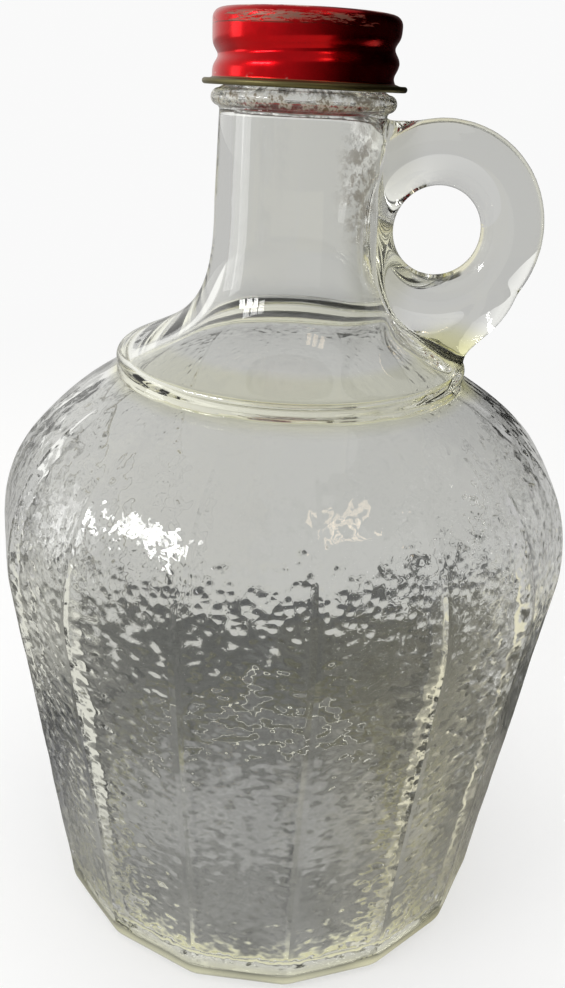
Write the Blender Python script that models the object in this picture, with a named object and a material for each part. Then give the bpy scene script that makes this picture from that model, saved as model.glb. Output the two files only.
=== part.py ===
"""Handled glass jug: a clear sixteen-sided jug with a ring handle and a red metal screw cap.

The jug stands on z = 0 with its axis on the Z axis. Its handle lies in the XZ plane, on the +X side,
over the middle of one of the sixteen panels. Lengths are in metres, written as millimetres times MM.
"""

import math

import bmesh
import bpy
from mathutils import Vector

MM = 0.001
COLLECTION_NAME = "handled_glass_jug"

# Body: sixteen flat panels. A radius here is the radius at a ridge between two panels.
PANEL_COUNT = 16
PANEL_ANGLE = 2 * math.pi / PANEL_COUNT
RIDGE_SOFTENING = 0.994
BASE_RADIUS = 53.0 * MM
HEEL_ROUND = 4.6 * MM
BEARING_RADIUS = 47.0 * MM
PUSH_UP_RADIUS = 43.0 * MM
PUSH_UP_HEIGHT = 2.0 * MM
WIDEST_RADIUS = 67.7 * MM
WIDEST_HEIGHT = 94.0 * MM
SHOULDER_TOP_HEIGHT = 136.0 * MM

# Collar under the neck: a round ledge with one shallow groove round it.
COLLAR_RADIUS = 39.6 * MM
COLLAR_FOOT_RADIUS = 39.2 * MM
COLLAR_ROUND = 2.0 * MM
COLLAR_ROUND_HEIGHT = 138.9 * MM
COLLAR_GROOVE_HEIGHT = 137.5 * MM
COLLAR_GROOVE_DEPTH = 0.35 * MM

# Neck: a trumpet flare up from the collar, a straight stretch and a bead under the cap.
FLARE_END_SLOPE = math.radians(25)
NECK_RADIUS = 18.1 * MM
NECK_FOOT_HEIGHT = 171.5 * MM
NECK_TOP_RADIUS = 17.4 * MM
BEAD_RADIUS = 19.2 * MM
BEAD_HEIGHT = 192.8 * MM
BEAD_HALF_HEIGHT = 1.75 * MM

# Neck finish: the threaded end that the cap screws onto.
FINISH_RADIUS = 16.4 * MM
LIP_HEIGHT = 208.0 * MM
LIP_ROUND = 0.9 * MM
THREAD_RADIUS = 0.85 * MM
THREAD_STAND_OUT = 0.7 * MM
THREAD_PITCH = 5.3 * MM
THREAD_TOP_HEIGHT = 205.6 * MM
THREAD_TURNS = 1.2
THREAD_START_ANGLE = math.radians(65)

# Inside of the jug.
BORE_RADIUS = 14.5 * MM
FLOOR_HEIGHT = 6.4 * MM
FLOOR_ROUND = 4.5 * MM
WALL_THICKNESS = 3.2 * MM

# Ring handle: an elliptical section carried round a circle, half sunk in the neck.
RING_CENTRE_X = 30.0 * MM
RING_CENTRE_Z = 168.5 * MM
RING_RADIUS = 15.9 * MM
RING_HALF_WIDTH = 6.5 * MM
RING_HALF_THICKNESS = 5.8 * MM

# Leg of the handle, from the ring's lower right down to the collar: x, z and radius of its stations.
LEG_STATIONS = (
    (44.2 * MM, 161.5 * MM, 5.4 * MM),
    (43.4 * MM, 157.6 * MM, 5.9 * MM),
    (41.2 * MM, 152.8 * MM, 5.9 * MM),
    (38.2 * MM, 148.6 * MM, 5.1 * MM),
    (35.6 * MM, 145.0 * MM, 4.7 * MM),
    (34.5 * MM, 141.0 * MM, 4.4 * MM),
    (34.6 * MM, 134.5 * MM, 4.5 * MM),
)

# Bar of glass that fills the corner between the neck and the top of the ring: x, z and radius.
BAR_STATIONS = (
    (15.5 * MM, 186.3 * MM, 3.5 * MM),
    (20.5 * MM, 186.2 * MM, 3.5 * MM),
    (26.0 * MM, 186.5 * MM, 3.9 * MM),
)

# Web of glass that fills the corner between ring, leg and flare: its outline in the XZ plane.
WEB_OUTLINE = (
    (22.5 * MM, 151.0 * MM),
    (26.0 * MM, 154.0 * MM),
    (35.0 * MM, 152.0 * MM),
    (35.0 * MM, 139.5 * MM),
    (27.0 * MM, 144.0 * MM),
)
WEB_THICKNESS = 7.0 * MM

# Cap: a pressed shell with a rolled thread groove and a curled lower rim.
CAP_TOP_HEIGHT = 208.9 * MM
CAP_RADIUS = 19.0 * MM
CAP_TOP_ROUND = 1.9 * MM
CAP_WALL = 0.45 * MM
CAP_SKIRT_FOOT_HEIGHT = 196.6 * MM
CURL_RADIUS = 21.0 * MM
CURL_HEIGHT = 195.65 * MM
CURL_HALF_THICKNESS = 0.6 * MM
GROOVE_DEPTH = 1.1 * MM
GROOVE_HALF_WIDTH = 1.5 * MM
GROOVE_PITCH = 5.3 * MM
GROOVE_TOP_HEIGHT = 203.9 * MM
GROOVE_START_ANGLE = math.radians(65)
GROOVE_SWEEP = math.radians(465)
GROOVE_FADE = math.radians(45)

# How finely each shape is faceted.
JUG_COLUMNS = 4 * PANEL_COUNT
CAVITY_COLUMNS = 3 * PANEL_COUNT
RING_SEGMENTS = 44
RING_SIDES = 14
CAP_COLUMNS = 48
SHARP_ANGLE = math.radians(40)


def clear_scene():
    """Remove every object that the startup file holds."""
    for item in list(bpy.data.objects):
        bpy.data.objects.remove(item)


def new_collection(name):
    """Add an empty collection to the scene."""
    collection = bpy.data.collections.new(name)
    bpy.context.scene.collection.children.link(collection)
    return collection


def material(name, color, roughness, metallic=0.0, transmission=0.0):
    """A Principled material of one finish."""
    made = bpy.data.materials.new(name)
    made.use_nodes = True
    shader = made.node_tree.nodes["Principled BSDF"]
    shader.inputs["Base Color"].default_value = (*color, 1.0)
    shader.inputs["Roughness"].default_value = roughness
    shader.inputs["Metallic"].default_value = metallic
    shader.inputs["Transmission Weight"].default_value = transmission
    made.diffuse_color = (*color, 1.0)
    return made


def bezier(start, start_handle, end_handle, end, count):
    """Points along a cubic curve through (radius, height) pairs, both ends included."""
    controls = [Vector(point) for point in (start, start_handle, end_handle, end)]
    points = []
    for index in range(count):
        t = index / (count - 1)
        weights = ((1 - t) ** 3, 3 * t * (1 - t) ** 2, 3 * t**2 * (1 - t), t**3)
        total = Vector((0.0, 0.0))
        for weight, control in zip(weights, controls):
            total += weight * control
        points.append((total.x, total.y))
    return points


def arc(centre, radii, start_degrees, end_degrees, count):
    """Points along an ellipse's arc round a (radius, height) centre, both ends included."""
    points = []
    for index in range(count):
        degrees = start_degrees + (end_degrees - start_degrees) * index / (count - 1)
        angle = math.radians(degrees)
        points.append(
            (centre[0] + radii[0] * math.cos(angle), centre[1] + radii[1] * math.sin(angle))
        )
    return points


def panel_radius(radius, angle, flatness):
    """Distance from the axis at an angle: flatness 1 gives flat panels, and 0 a plain circle."""
    half = PANEL_ANGLE / 2
    from_middle = (angle + half) % PANEL_ANGLE - half
    flat = min(math.cos(half) / math.cos(from_middle), RIDGE_SOFTENING)
    round_factor = (1 + math.cos(half)) / 2
    return radius * (round_factor + (flat - round_factor) * flatness)


def ring_surface(bm, rings):
    """Join rings of vertices into a tube and close both its ends with a flat face."""
    for upper, lower in zip(rings, rings[1:]):
        for index in range(len(upper)):
            after = (index + 1) % len(upper)
            bm.faces.new((upper[index], lower[index], lower[after], upper[after]))
    bm.faces.new(rings[0])
    bm.faces.new(list(reversed(rings[-1])))


def mesh_object(name, bm, collection):
    """Turn a bmesh into a smooth-shaded object."""
    bmesh.ops.recalc_face_normals(bm, faces=bm.faces)
    mesh = bpy.data.meshes.new(name)
    bm.to_mesh(mesh)
    bm.free()
    mesh.shade_smooth()
    mesh.set_sharp_from_angle(angle=SHARP_ANGLE)
    made = bpy.data.objects.new(name, mesh)
    collection.objects.link(made)
    return made


def loft(name, rows, columns, collection):
    """A solid through rings given from top to bottom as (ridge radius, height, flatness)."""
    bm = bmesh.new()
    rings = []
    for radius, height, flatness in rows:
        ring = []
        for index in range(columns):
            angle = 2 * math.pi * index / columns + PANEL_ANGLE / 2
            reach = panel_radius(radius, angle, flatness)
            ring.append(bm.verts.new((reach * math.cos(angle), reach * math.sin(angle), height)))
        rings.append(ring)
    ring_surface(bm, rings)
    return mesh_object(name, bm, collection)


def circular(points):
    """Rings of a true circle: panel_radius would shrink them by its round factor."""
    round_factor = (1 + math.cos(PANEL_ANGLE / 2)) / 2
    return [(radius / round_factor, height, 0.0) for radius, height in points]


def shoulder_flatness(height, top, bottom):
    """The panels are flat up to the widest part and fade out towards the collar."""
    share = min(max((top - height) / (top - bottom), 0.0), 1.0)
    return 0.35 + 0.65 * share


def finish_points():
    """The neck finish and bead, from the lip's top down to the top of the neck."""
    lip_centre = (FINISH_RADIUS - LIP_ROUND, LIP_HEIGHT - LIP_ROUND)
    points = [(FINISH_RADIUS - 2 * LIP_ROUND, LIP_HEIGHT)]
    points += arc(lip_centre, (LIP_ROUND, LIP_ROUND), 90, 0, 3)
    bead_depth = BEAD_RADIUS - NECK_TOP_RADIUS
    bead_centre = (NECK_TOP_RADIUS, BEAD_HEIGHT)
    bead_top = BEAD_HEIGHT + BEAD_HALF_HEIGHT
    points.append((FINISH_RADIUS, bead_top + 0.3 * MM))
    points += arc(bead_centre, (bead_depth, BEAD_HALF_HEIGHT), 84, -84, 7)
    return points


def neck_points():
    """The neck and its flare, down to the foot of the collar."""
    below_bead = BEAD_HEIGHT - BEAD_HALF_HEIGHT - 0.3 * MM
    points = [(NECK_TOP_RADIUS, below_bead)]
    round_centre = (COLLAR_RADIUS - COLLAR_ROUND, COLLAR_ROUND_HEIGHT)
    flare_end = (
        round_centre[0] + COLLAR_ROUND * math.sin(FLARE_END_SLOPE),
        round_centre[1] + COLLAR_ROUND * math.cos(FLARE_END_SLOPE),
    )
    flare_handle = (
        flare_end[0] - 15.1 * MM * math.cos(FLARE_END_SLOPE),
        flare_end[1] + 15.1 * MM * math.sin(FLARE_END_SLOPE),
    )
    neck_foot = (NECK_RADIUS, NECK_FOOT_HEIGHT)
    neck_handle = (NECK_RADIUS, NECK_FOOT_HEIGHT - 23.1 * MM)
    points += bezier(neck_foot, neck_handle, flare_handle, flare_end, 11)
    end_degrees = 90 - math.degrees(FLARE_END_SLOPE)
    points += arc(round_centre, (COLLAR_ROUND, COLLAR_ROUND), end_degrees, 0, 4)[1:]
    groove_radius = (COLLAR_RADIUS + COLLAR_FOOT_RADIUS) / 2 - COLLAR_GROOVE_DEPTH
    points.append((groove_radius, COLLAR_GROOVE_HEIGHT))
    points.append((COLLAR_FOOT_RADIUS, SHOULDER_TOP_HEIGHT + 0.4 * MM))
    return points


def body_points():
    """The shoulder, wall and heel at a ridge, from the collar down to the standing edge."""
    top = (COLLAR_FOOT_RADIUS + 0.5 * MM, SHOULDER_TOP_HEIGHT)
    top_handle = (top[0] + 8.0 * MM, top[1] - 6.0 * MM)
    widest = (WIDEST_RADIUS, WIDEST_HEIGHT)
    widest_handle = (WIDEST_RADIUS + 0.9 * MM, WIDEST_HEIGHT + 29.0 * MM)
    points = bezier(top, top_handle, widest_handle, widest, 11)
    heel_centre = (BASE_RADIUS, HEEL_ROUND)
    points += arc(heel_centre, (HEEL_ROUND, HEEL_ROUND), 0, -90, 4)
    return points


def jug_rows():
    """All rings of the outside of the jug, from the lip to the middle of its base."""
    rows = circular(finish_points() + neck_points())
    for radius, height in body_points():
        flatness = shoulder_flatness(height, SHOULDER_TOP_HEIGHT, WIDEST_HEIGHT)
        rows.append((radius, height, flatness))
    rows.append((BEARING_RADIUS, 0.0, 1.0))
    rows.append((PUSH_UP_RADIUS, 0.6 * PUSH_UP_HEIGHT, 0.5))
    middle = ((0.6 * PUSH_UP_RADIUS, 0.9 * PUSH_UP_HEIGHT), (0.1 * PUSH_UP_RADIUS, PUSH_UP_HEIGHT))
    rows += circular(middle)
    return rows


def cavity_rows():
    """All rings of the inside of the jug, from above the lip to the floor."""
    above_lip = LIP_HEIGHT + 4.0 * MM
    flare_foot = (36.0 * MM, 135.3 * MM)
    points = [(BORE_RADIUS, above_lip), (BORE_RADIUS, NECK_FOOT_HEIGHT)]
    bore_foot = (BORE_RADIUS, NECK_FOOT_HEIGHT - 1.5 * MM)
    bore_handle = (BORE_RADIUS, NECK_FOOT_HEIGHT - 24.5 * MM)
    points += bezier(bore_foot, bore_handle, (24.0 * MM, 142.3 * MM), flare_foot, 8)
    rows = circular(points)
    widest = (WIDEST_RADIUS - WALL_THICKNESS, WIDEST_HEIGHT - 1.0 * MM)
    widest_handle = (widest[0] + 0.8 * MM, widest[1] + 28.5 * MM)
    flare_handle = (flare_foot[0] + 9.0 * MM, flare_foot[1] - 5.3 * MM)
    shoulder = bezier(flare_foot, flare_handle, widest_handle, widest, 9)[1:]
    floor_corner = BASE_RADIUS + HEEL_ROUND - WALL_THICKNESS - FLOOR_ROUND + 0.8 * MM
    corner_centre = (floor_corner, FLOOR_HEIGHT + FLOOR_ROUND)
    wall = shoulder + arc(corner_centre, (FLOOR_ROUND, FLOOR_ROUND), 0, -90, 4)
    for radius, height in wall:
        flatness = 0.9 * shoulder_flatness(height, flare_foot[1], WIDEST_HEIGHT)
        rows.append((radius, height, flatness))
    return rows


def curve_mesh(curve_object, collection):
    """Replace a bevelled curve by a mesh object whose caps are welded to its sides."""
    bpy.context.view_layer.update()
    graph = bpy.context.evaluated_depsgraph_get()
    mesh = bpy.data.meshes.new_from_object(curve_object.evaluated_get(graph))
    bm = bmesh.new()
    bm.from_mesh(mesh)
    bmesh.ops.remove_doubles(bm, verts=bm.verts, dist=0.00001)
    bmesh.ops.recalc_face_normals(bm, faces=bm.faces)
    bm.to_mesh(mesh)
    bm.free()
    name = curve_object.name
    placed = curve_object.matrix_world.copy()
    bpy.data.objects.remove(curve_object)
    made = bpy.data.objects.new(name, mesh)
    made.matrix_world = placed
    collection.objects.link(made)
    return made


def tube(name, stations, depth, bevel_resolution, collection):
    """A round tube through (x, y, z, radius) stations, as a mesh."""
    curve = bpy.data.curves.new(name, "CURVE")
    curve.dimensions = "3D"
    curve.bevel_depth = depth
    curve.bevel_resolution = bevel_resolution
    curve.use_fill_caps = True
    spline = curve.splines.new("POLY")
    spline.points.add(len(stations) - 1)
    for point, (x, y, z, radius) in zip(spline.points, stations):
        point.co = (x, y, z, 1.0)
        point.radius = radius / depth
    made = bpy.data.objects.new(name, curve)
    collection.objects.link(made)
    return curve_mesh(made, collection)


def helper(item):
    """Mark an object as a cutter or a piece that a union takes in."""
    item.hide_render = True
    item.display_type = "WIRE"
    return item


def add_ring(collection):
    """The ring of the handle: a torus standing in the XZ plane, flattened along Y."""
    bpy.ops.mesh.primitive_torus_add(
        major_segments=RING_SEGMENTS,
        minor_segments=RING_SIDES,
        major_radius=RING_RADIUS,
        minor_radius=RING_HALF_WIDTH,
        location=(RING_CENTRE_X, 0.0, RING_CENTRE_Z),
        rotation=(math.pi / 2, 0.0, 0.0),
    )
    ring = bpy.context.object
    ring.name = "handle_ring"
    ring.scale.z = RING_HALF_THICKNESS / RING_HALF_WIDTH
    for holder in list(ring.users_collection):
        holder.objects.unlink(ring)
    collection.objects.link(ring)
    return helper(ring)


def add_limb(name, stations, collection):
    """A round limb of the handle through (x, z, radius) stations in its plane."""
    placed = [(x, 0.0, z, radius) for x, z, radius in stations]
    return helper(tube(name, placed, stations[0][2], 2, collection))


def add_web(collection):
    """The plate of glass in the corner under the ring."""
    curve = bpy.data.curves.new("handle_web", "CURVE")
    curve.dimensions = "2D"
    curve.fill_mode = "BOTH"
    curve.extrude = WEB_THICKNESS / 2
    spline = curve.splines.new("POLY")
    spline.points.add(len(WEB_OUTLINE) - 1)
    for point, (x, z) in zip(spline.points, WEB_OUTLINE):
        point.co = (x, z, 0.0, 1.0)
    spline.use_cyclic_u = True
    web = bpy.data.objects.new("handle_web", curve)
    web.rotation_euler.x = math.pi / 2
    collection.objects.link(web)
    return helper(curve_mesh(web, collection))


def add_thread(collection):
    """The helical ridge on the neck finish, tapering away at both ends."""
    count = 30
    stations = []
    for index in range(count):
        share = index / (count - 1)
        angle = THREAD_START_ANGLE - share * THREAD_TURNS * 2 * math.pi
        height = THREAD_TOP_HEIGHT - share * THREAD_TURNS * THREAD_PITCH
        taper = min(1.0, 0.35 + 5 * min(share, 1 - share))
        reach = FINISH_RADIUS + THREAD_STAND_OUT - THREAD_RADIUS * taper
        stations.append(
            (reach * math.cos(angle), reach * math.sin(angle), height, THREAD_RADIUS * taper)
        )
    return helper(tube("neck_thread", stations, THREAD_RADIUS, 1, collection))


def add_boolean(target, other, operation, solver="EXACT"):
    """Join another object to the target, or cut it away."""
    modifier = target.modifiers.new(f"{operation.lower()} {other.name}", "BOOLEAN")
    modifier.operation = operation
    modifier.solver = solver
    modifier.object = other


def build_jug(parts, cutters):
    """The glass: body, collar, neck, finish, thread and handle in one piece, hollow and open at the lip."""
    jug = loft("glass_jug", jug_rows(), JUG_COLUMNS, parts)
    add_boolean(jug, add_ring(cutters), "UNION")
    add_boolean(jug, add_limb("handle_leg", LEG_STATIONS, cutters), "UNION")
    add_boolean(jug, add_limb("handle_bar", BAR_STATIONS, cutters), "UNION")
    # The EXACT solver empties the jug at this one union, where three curved pieces meet.
    add_boolean(jug, add_web(cutters), "UNION", "MANIFOLD")
    add_boolean(jug, add_thread(cutters), "UNION")
    cavity = helper(loft("jug_cavity", cavity_rows(), CAVITY_COLUMNS, cutters))
    add_boolean(jug, cavity, "DIFFERENCE")
    jug.data.materials.append(material("clear_glass", (0.86, 0.88, 0.84), 0.03, transmission=1.0))
    return jug


def groove_at(angle, height):
    """How deep the rolled thread groove is at a place on the skirt, from 0 to 1."""
    deepest = 0.0
    turned = (GROOVE_START_ANGLE - angle) % (2 * math.pi)
    while turned < GROOVE_SWEEP:
        middle = GROOVE_TOP_HEIGHT - GROOVE_PITCH * turned / (2 * math.pi)
        fade = min(turned, GROOVE_SWEEP - turned) / GROOVE_FADE
        offset = (height - middle) / GROOVE_HALF_WIDTH
        deepest = max(deepest, min(fade, 1.0) * math.exp(-(offset**2)))
        turned += 2 * math.pi
    return deepest


def skirt_points(radius, top, bottom, count):
    """Points down the skirt, each with the full share of the groove."""
    points = []
    for index in range(count):
        height = top + (bottom - top) * index / (count - 1)
        points.append((radius, height, 1.0))
    return points


def cap_points():
    """The cap's section from the middle of its top, down outside, round the curl and up inside."""
    round_centre = (CAP_RADIUS - CAP_TOP_ROUND, CAP_TOP_HEIGHT - CAP_TOP_ROUND)
    outer_top = arc(round_centre, (CAP_TOP_ROUND, CAP_TOP_ROUND), 90, 0, 4)
    skirt_top = CAP_TOP_HEIGHT - CAP_TOP_ROUND - 0.8 * MM
    curl_middle = (CURL_RADIUS - CURL_HALF_THICKNESS, CURL_HEIGHT)
    curl_radii = (CURL_HALF_THICKNESS, CURL_HALF_THICKNESS)
    inner_radius = CAP_RADIUS - CAP_WALL
    inner_corner = (round_centre[0] - 0.3 * MM, round_centre[1] - CAP_WALL)
    inner_top = arc(inner_corner, (CAP_TOP_ROUND - 0.15 * MM, CAP_TOP_ROUND), 0, 90, 3)
    points = [(0.3 * CAP_RADIUS, CAP_TOP_HEIGHT, 0.0)]
    points += [(radius, height, 0.0) for radius, height in outer_top]
    points += skirt_points(CAP_RADIUS, skirt_top, CAP_SKIRT_FOOT_HEIGHT, 11)
    points += [(radius, height, 0.0) for radius, height in arc(curl_middle, curl_radii, 90, -90, 5)]
    points.append((inner_radius, CURL_HEIGHT - CURL_HALF_THICKNESS, 0.0))
    points += reversed(skirt_points(inner_radius, skirt_top, CAP_SKIRT_FOOT_HEIGHT, 11))
    points += [(radius, height, 0.0) for radius, height in inner_top]
    points.append((0.3 * CAP_RADIUS, CAP_TOP_HEIGHT - CAP_WALL, 0.0))
    return points


def build_cap(parts):
    """The metal cap: one thin shell, open below."""
    bm = bmesh.new()
    rings = []
    for radius, height, share in cap_points():
        ring = []
        for index in range(CAP_COLUMNS):
            angle = 2 * math.pi * index / CAP_COLUMNS
            reach = radius - share * GROOVE_DEPTH * groove_at(angle, height)
            ring.append(bm.verts.new((reach * math.cos(angle), reach * math.sin(angle), height)))
        rings.append(ring)
    ring_surface(bm, rings)
    cap = mesh_object("screw_cap", bm, parts)
    cap.data.materials.append(material("red_lacquer", (0.45, 0.015, 0.02), 0.25))
    return cap


def main():
    clear_scene()
    parts = new_collection(COLLECTION_NAME)
    cutters = new_collection("cutters")
    build_jug(parts, cutters)
    build_cap(parts)


main()
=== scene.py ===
"""Clear glass jug with a ring handle and a red screw cap: its glass, its lacquer and a plain studio."""

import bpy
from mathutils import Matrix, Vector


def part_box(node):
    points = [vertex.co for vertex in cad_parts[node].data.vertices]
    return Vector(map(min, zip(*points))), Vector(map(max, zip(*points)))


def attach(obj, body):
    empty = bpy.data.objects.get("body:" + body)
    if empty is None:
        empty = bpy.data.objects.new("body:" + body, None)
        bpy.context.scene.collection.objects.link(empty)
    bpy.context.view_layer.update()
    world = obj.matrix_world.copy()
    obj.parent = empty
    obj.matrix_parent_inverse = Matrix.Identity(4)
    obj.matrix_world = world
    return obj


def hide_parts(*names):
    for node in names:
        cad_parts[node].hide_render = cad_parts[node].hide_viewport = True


bl_info = {
    "name": "Handled Glass Jug",
    "version": (1, 0, 0),
    "blender": (4, 5, 0),
    "location": "3D View > Sidebar > Jug",
    "description": "Makes a panelled glass jug with a ring handle, its screw cap and a studio round it",
    "category": "Add Mesh",
}

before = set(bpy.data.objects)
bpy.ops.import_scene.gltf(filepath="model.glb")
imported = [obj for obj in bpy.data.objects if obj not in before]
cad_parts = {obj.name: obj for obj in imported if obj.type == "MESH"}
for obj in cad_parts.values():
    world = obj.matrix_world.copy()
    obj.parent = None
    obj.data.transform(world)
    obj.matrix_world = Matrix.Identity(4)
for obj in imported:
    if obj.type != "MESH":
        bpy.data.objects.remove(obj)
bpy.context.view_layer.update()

import math

import bpy
import numpy as np
from mathutils import Matrix, Vector

MM = 0.001
_, JUG_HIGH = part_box("glass_jug")
CAP_LOW, CAP_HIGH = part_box("screw_cap")

# Body: sixteen flat panels. A radius here is the radius at a ridge between two panels.
PANEL_COUNT = 16
HALF_PANEL = math.pi / PANEL_COUNT
ROUND_FACTOR = (1 + math.cos(HALF_PANEL)) / 2
RIDGE_SOFTNESS = 0.0012
RIDGE_CUT = 0.9972
WIDEST_RADIUS = JUG_HIGH.x / math.cos(HALF_PANEL)
WIDEST_HEIGHT = 94.0 * MM
SHOULDER_FLATNESS = 0.45
SHOULDER_FADE_POWER = 0.7
INNER_FLATNESS = 0.1
BASE_RADIUS = 53.0 * MM
HEEL_ROUND = 4.6 * MM
BEARING_RADIUS = 47.0 * MM
PUSH_UP_RADIUS = 43.0 * MM
PUSH_UP_HEIGHT = 2.0 * MM
SHOULDER_TOP = 136.0 * MM

# Collar: a round ledge with one shallow groove round it.
COLLAR_RADIUS = 39.6 * MM
COLLAR_FOOT = (39.2 * MM, 136.4 * MM)
COLLAR_ROUND = 2.0 * MM
COLLAR_ROUND_HEIGHT = 138.9 * MM
COLLAR_GROOVE_HEIGHT = 137.5 * MM
COLLAR_GROOVE_DEPTH = 0.35 * MM

# Neck, bead and the finish under the cap.
FLARE_END_SLOPE = math.radians(25)
FLARE_LENGTH = 15.1 * MM
NECK_RADIUS = 18.1 * MM
NECK_FOOT = 171.5 * MM
NECK_DROP = 23.1 * MM
NECK_TOP_RADIUS = 17.4 * MM
BEAD_RADIUS = 19.2 * MM
BEAD_HEIGHT = 192.8 * MM
BEAD_HALF_HEIGHT = 1.75 * MM
FINISH_RADIUS = 16.4 * MM
LIP_HEIGHT = JUG_HIGH.z
LIP_ROUND = 0.9 * MM

# Inside of the jug.
BORE_RADIUS = 14.5 * MM
CAVITY_FLARE_FOOT = (36.0 * MM, 135.3 * MM)
FLOOR_HEIGHT = 6.4 * MM
FLOOR_ROUND = 4.5 * MM
CAVITY_SWELLS = ((183.0 * MM, 3.6 * MM, 6.0 * MM), (151.0 * MM, 2.0 * MM, 6.0 * MM))

# Handle, in the XZ plane: ring, then the leg down to the collar and the glass that fills the corners.
RING_CENTRE = (30.0 * MM, 168.5 * MM)
RING_RADIUS = 15.9 * MM
RING_HALF_WIDTH = 6.5 * MM
RING_HALF_THICKNESS = 5.8 * MM
LEG_STATIONS = (
    (44.2 * MM, 161.5 * MM, 5.4 * MM),
    (43.4 * MM, 157.6 * MM, 5.9 * MM),
    (41.2 * MM, 152.8 * MM, 5.9 * MM),
    (38.2 * MM, 148.6 * MM, 5.1 * MM),
    (35.6 * MM, 145.0 * MM, 4.7 * MM),
    (34.5 * MM, 141.0 * MM, 4.4 * MM),
    (34.6 * MM, 136.5 * MM, 4.5 * MM),
)
BAR_STATIONS = (
    (13.5 * MM, 186.3 * MM, 3.5 * MM),
    (20.5 * MM, 186.2 * MM, 3.5 * MM),
    (26.0 * MM, 186.5 * MM, 3.9 * MM),
)
WEB_STATIONS = (
    (24.0 * MM, 152.5 * MM, 3.2 * MM),
    (28.0 * MM, 149.5 * MM, 3.4 * MM),
    (32.0 * MM, 147.5 * MM, 3.6 * MM),
    (33.0 * MM, 142.5 * MM, 3.6 * MM),
)
HANDLE_ROOT = (36.0 * MM, 0.0, 140.0 * MM)
HANDLE_CORNER = (20.0 * MM, 0.0, 158.0 * MM)
STAIN_SQUEEZE = 0.45
NECK_STAIN = (13.6 * MM, -11.5 * MM, STAIN_SQUEEZE * 179.0 * MM)

# Cap: a pressed shell with a rolled thread groove and a curled lower rim.
CAP_TOP = CAP_HIGH.z
CAP_RADIUS = 19.0 * MM
CAP_TOP_ROUND = 1.9 * MM
CAP_WALL = 0.45 * MM
CAP_SKIRT_FOOT = 196.6 * MM
CURL_RADIUS = CAP_HIGH.x
CURL_HALF_THICKNESS = 0.6 * MM
CURL_HEIGHT = CAP_LOW.z + CURL_HALF_THICKNESS
GROOVE_TOP_HEIGHT = 203.9 * MM
GROOVE_HALF_WIDTH = 1.5 * MM
GROOVE_START = math.radians(65)
GROOVE_SWEEP = math.radians(465)
GROOVE_FADE = math.radians(45)

# How finely the meshes are made.
OUTER_COLUMNS = 16 * PANEL_COUNT
CAVITY_COLUMNS = 6 * PANEL_COUNT
CAP_COLUMNS = 192
LIMB_SIDES = 24
ROW_STEP = 1.25 * MM

# The camera, level with the cap and close, for an upright frame. Its focal length is in pixels.
IMAGE_SIZE = (565, 988)
FOCAL_PIXELS = 907.0
SENSOR = 36.0
CAMERA_REACH = 204.0 * MM
CAMERA_HEIGHT = 195.6 * MM
CAMERA_ANGLE = math.radians(-85.2)
CAMERA_PITCH = math.radians(24.28)
CAMERA_ROLL = math.radians(2.9)
CAMERA_YAW = math.atan(1.3 / FOCAL_PIXELS)


# ---------------------------------------------------------------- node helpers


class Value:
    """A socket of a node tree. Arithmetic on it adds Math nodes."""

    def __init__(self, builder, socket):
        self.builder = builder
        self.socket = socket

    def _math(self, operation, first, second):
        return self.builder.add("ShaderNodeMath", {"operation": operation}, {0: first, 1: second})

    def __add__(self, other):
        return self._math("ADD", self, other)

    __radd__ = __add__

    def __sub__(self, other):
        return self._math("SUBTRACT", self, other)

    def __rsub__(self, other):
        return self._math("SUBTRACT", other, self)

    def __mul__(self, other):
        return self._math("MULTIPLY", self, other)

    __rmul__ = __mul__

    def __truediv__(self, other):
        return self._math("DIVIDE", self, other)

    def __rtruediv__(self, other):
        return self._math("DIVIDE", other, self)

    def __neg__(self):
        return self._math("MULTIPLY", self, -1.0)

    def __pow__(self, other):
        return self._math("POWER", self, other)

    def __gt__(self, other):
        return self._math("GREATER_THAN", self, other)


# The sockets of a Mix node that hold colours.
COLOR_SOCKETS = (6, 7)
COLOR_OUTPUT = 2


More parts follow.
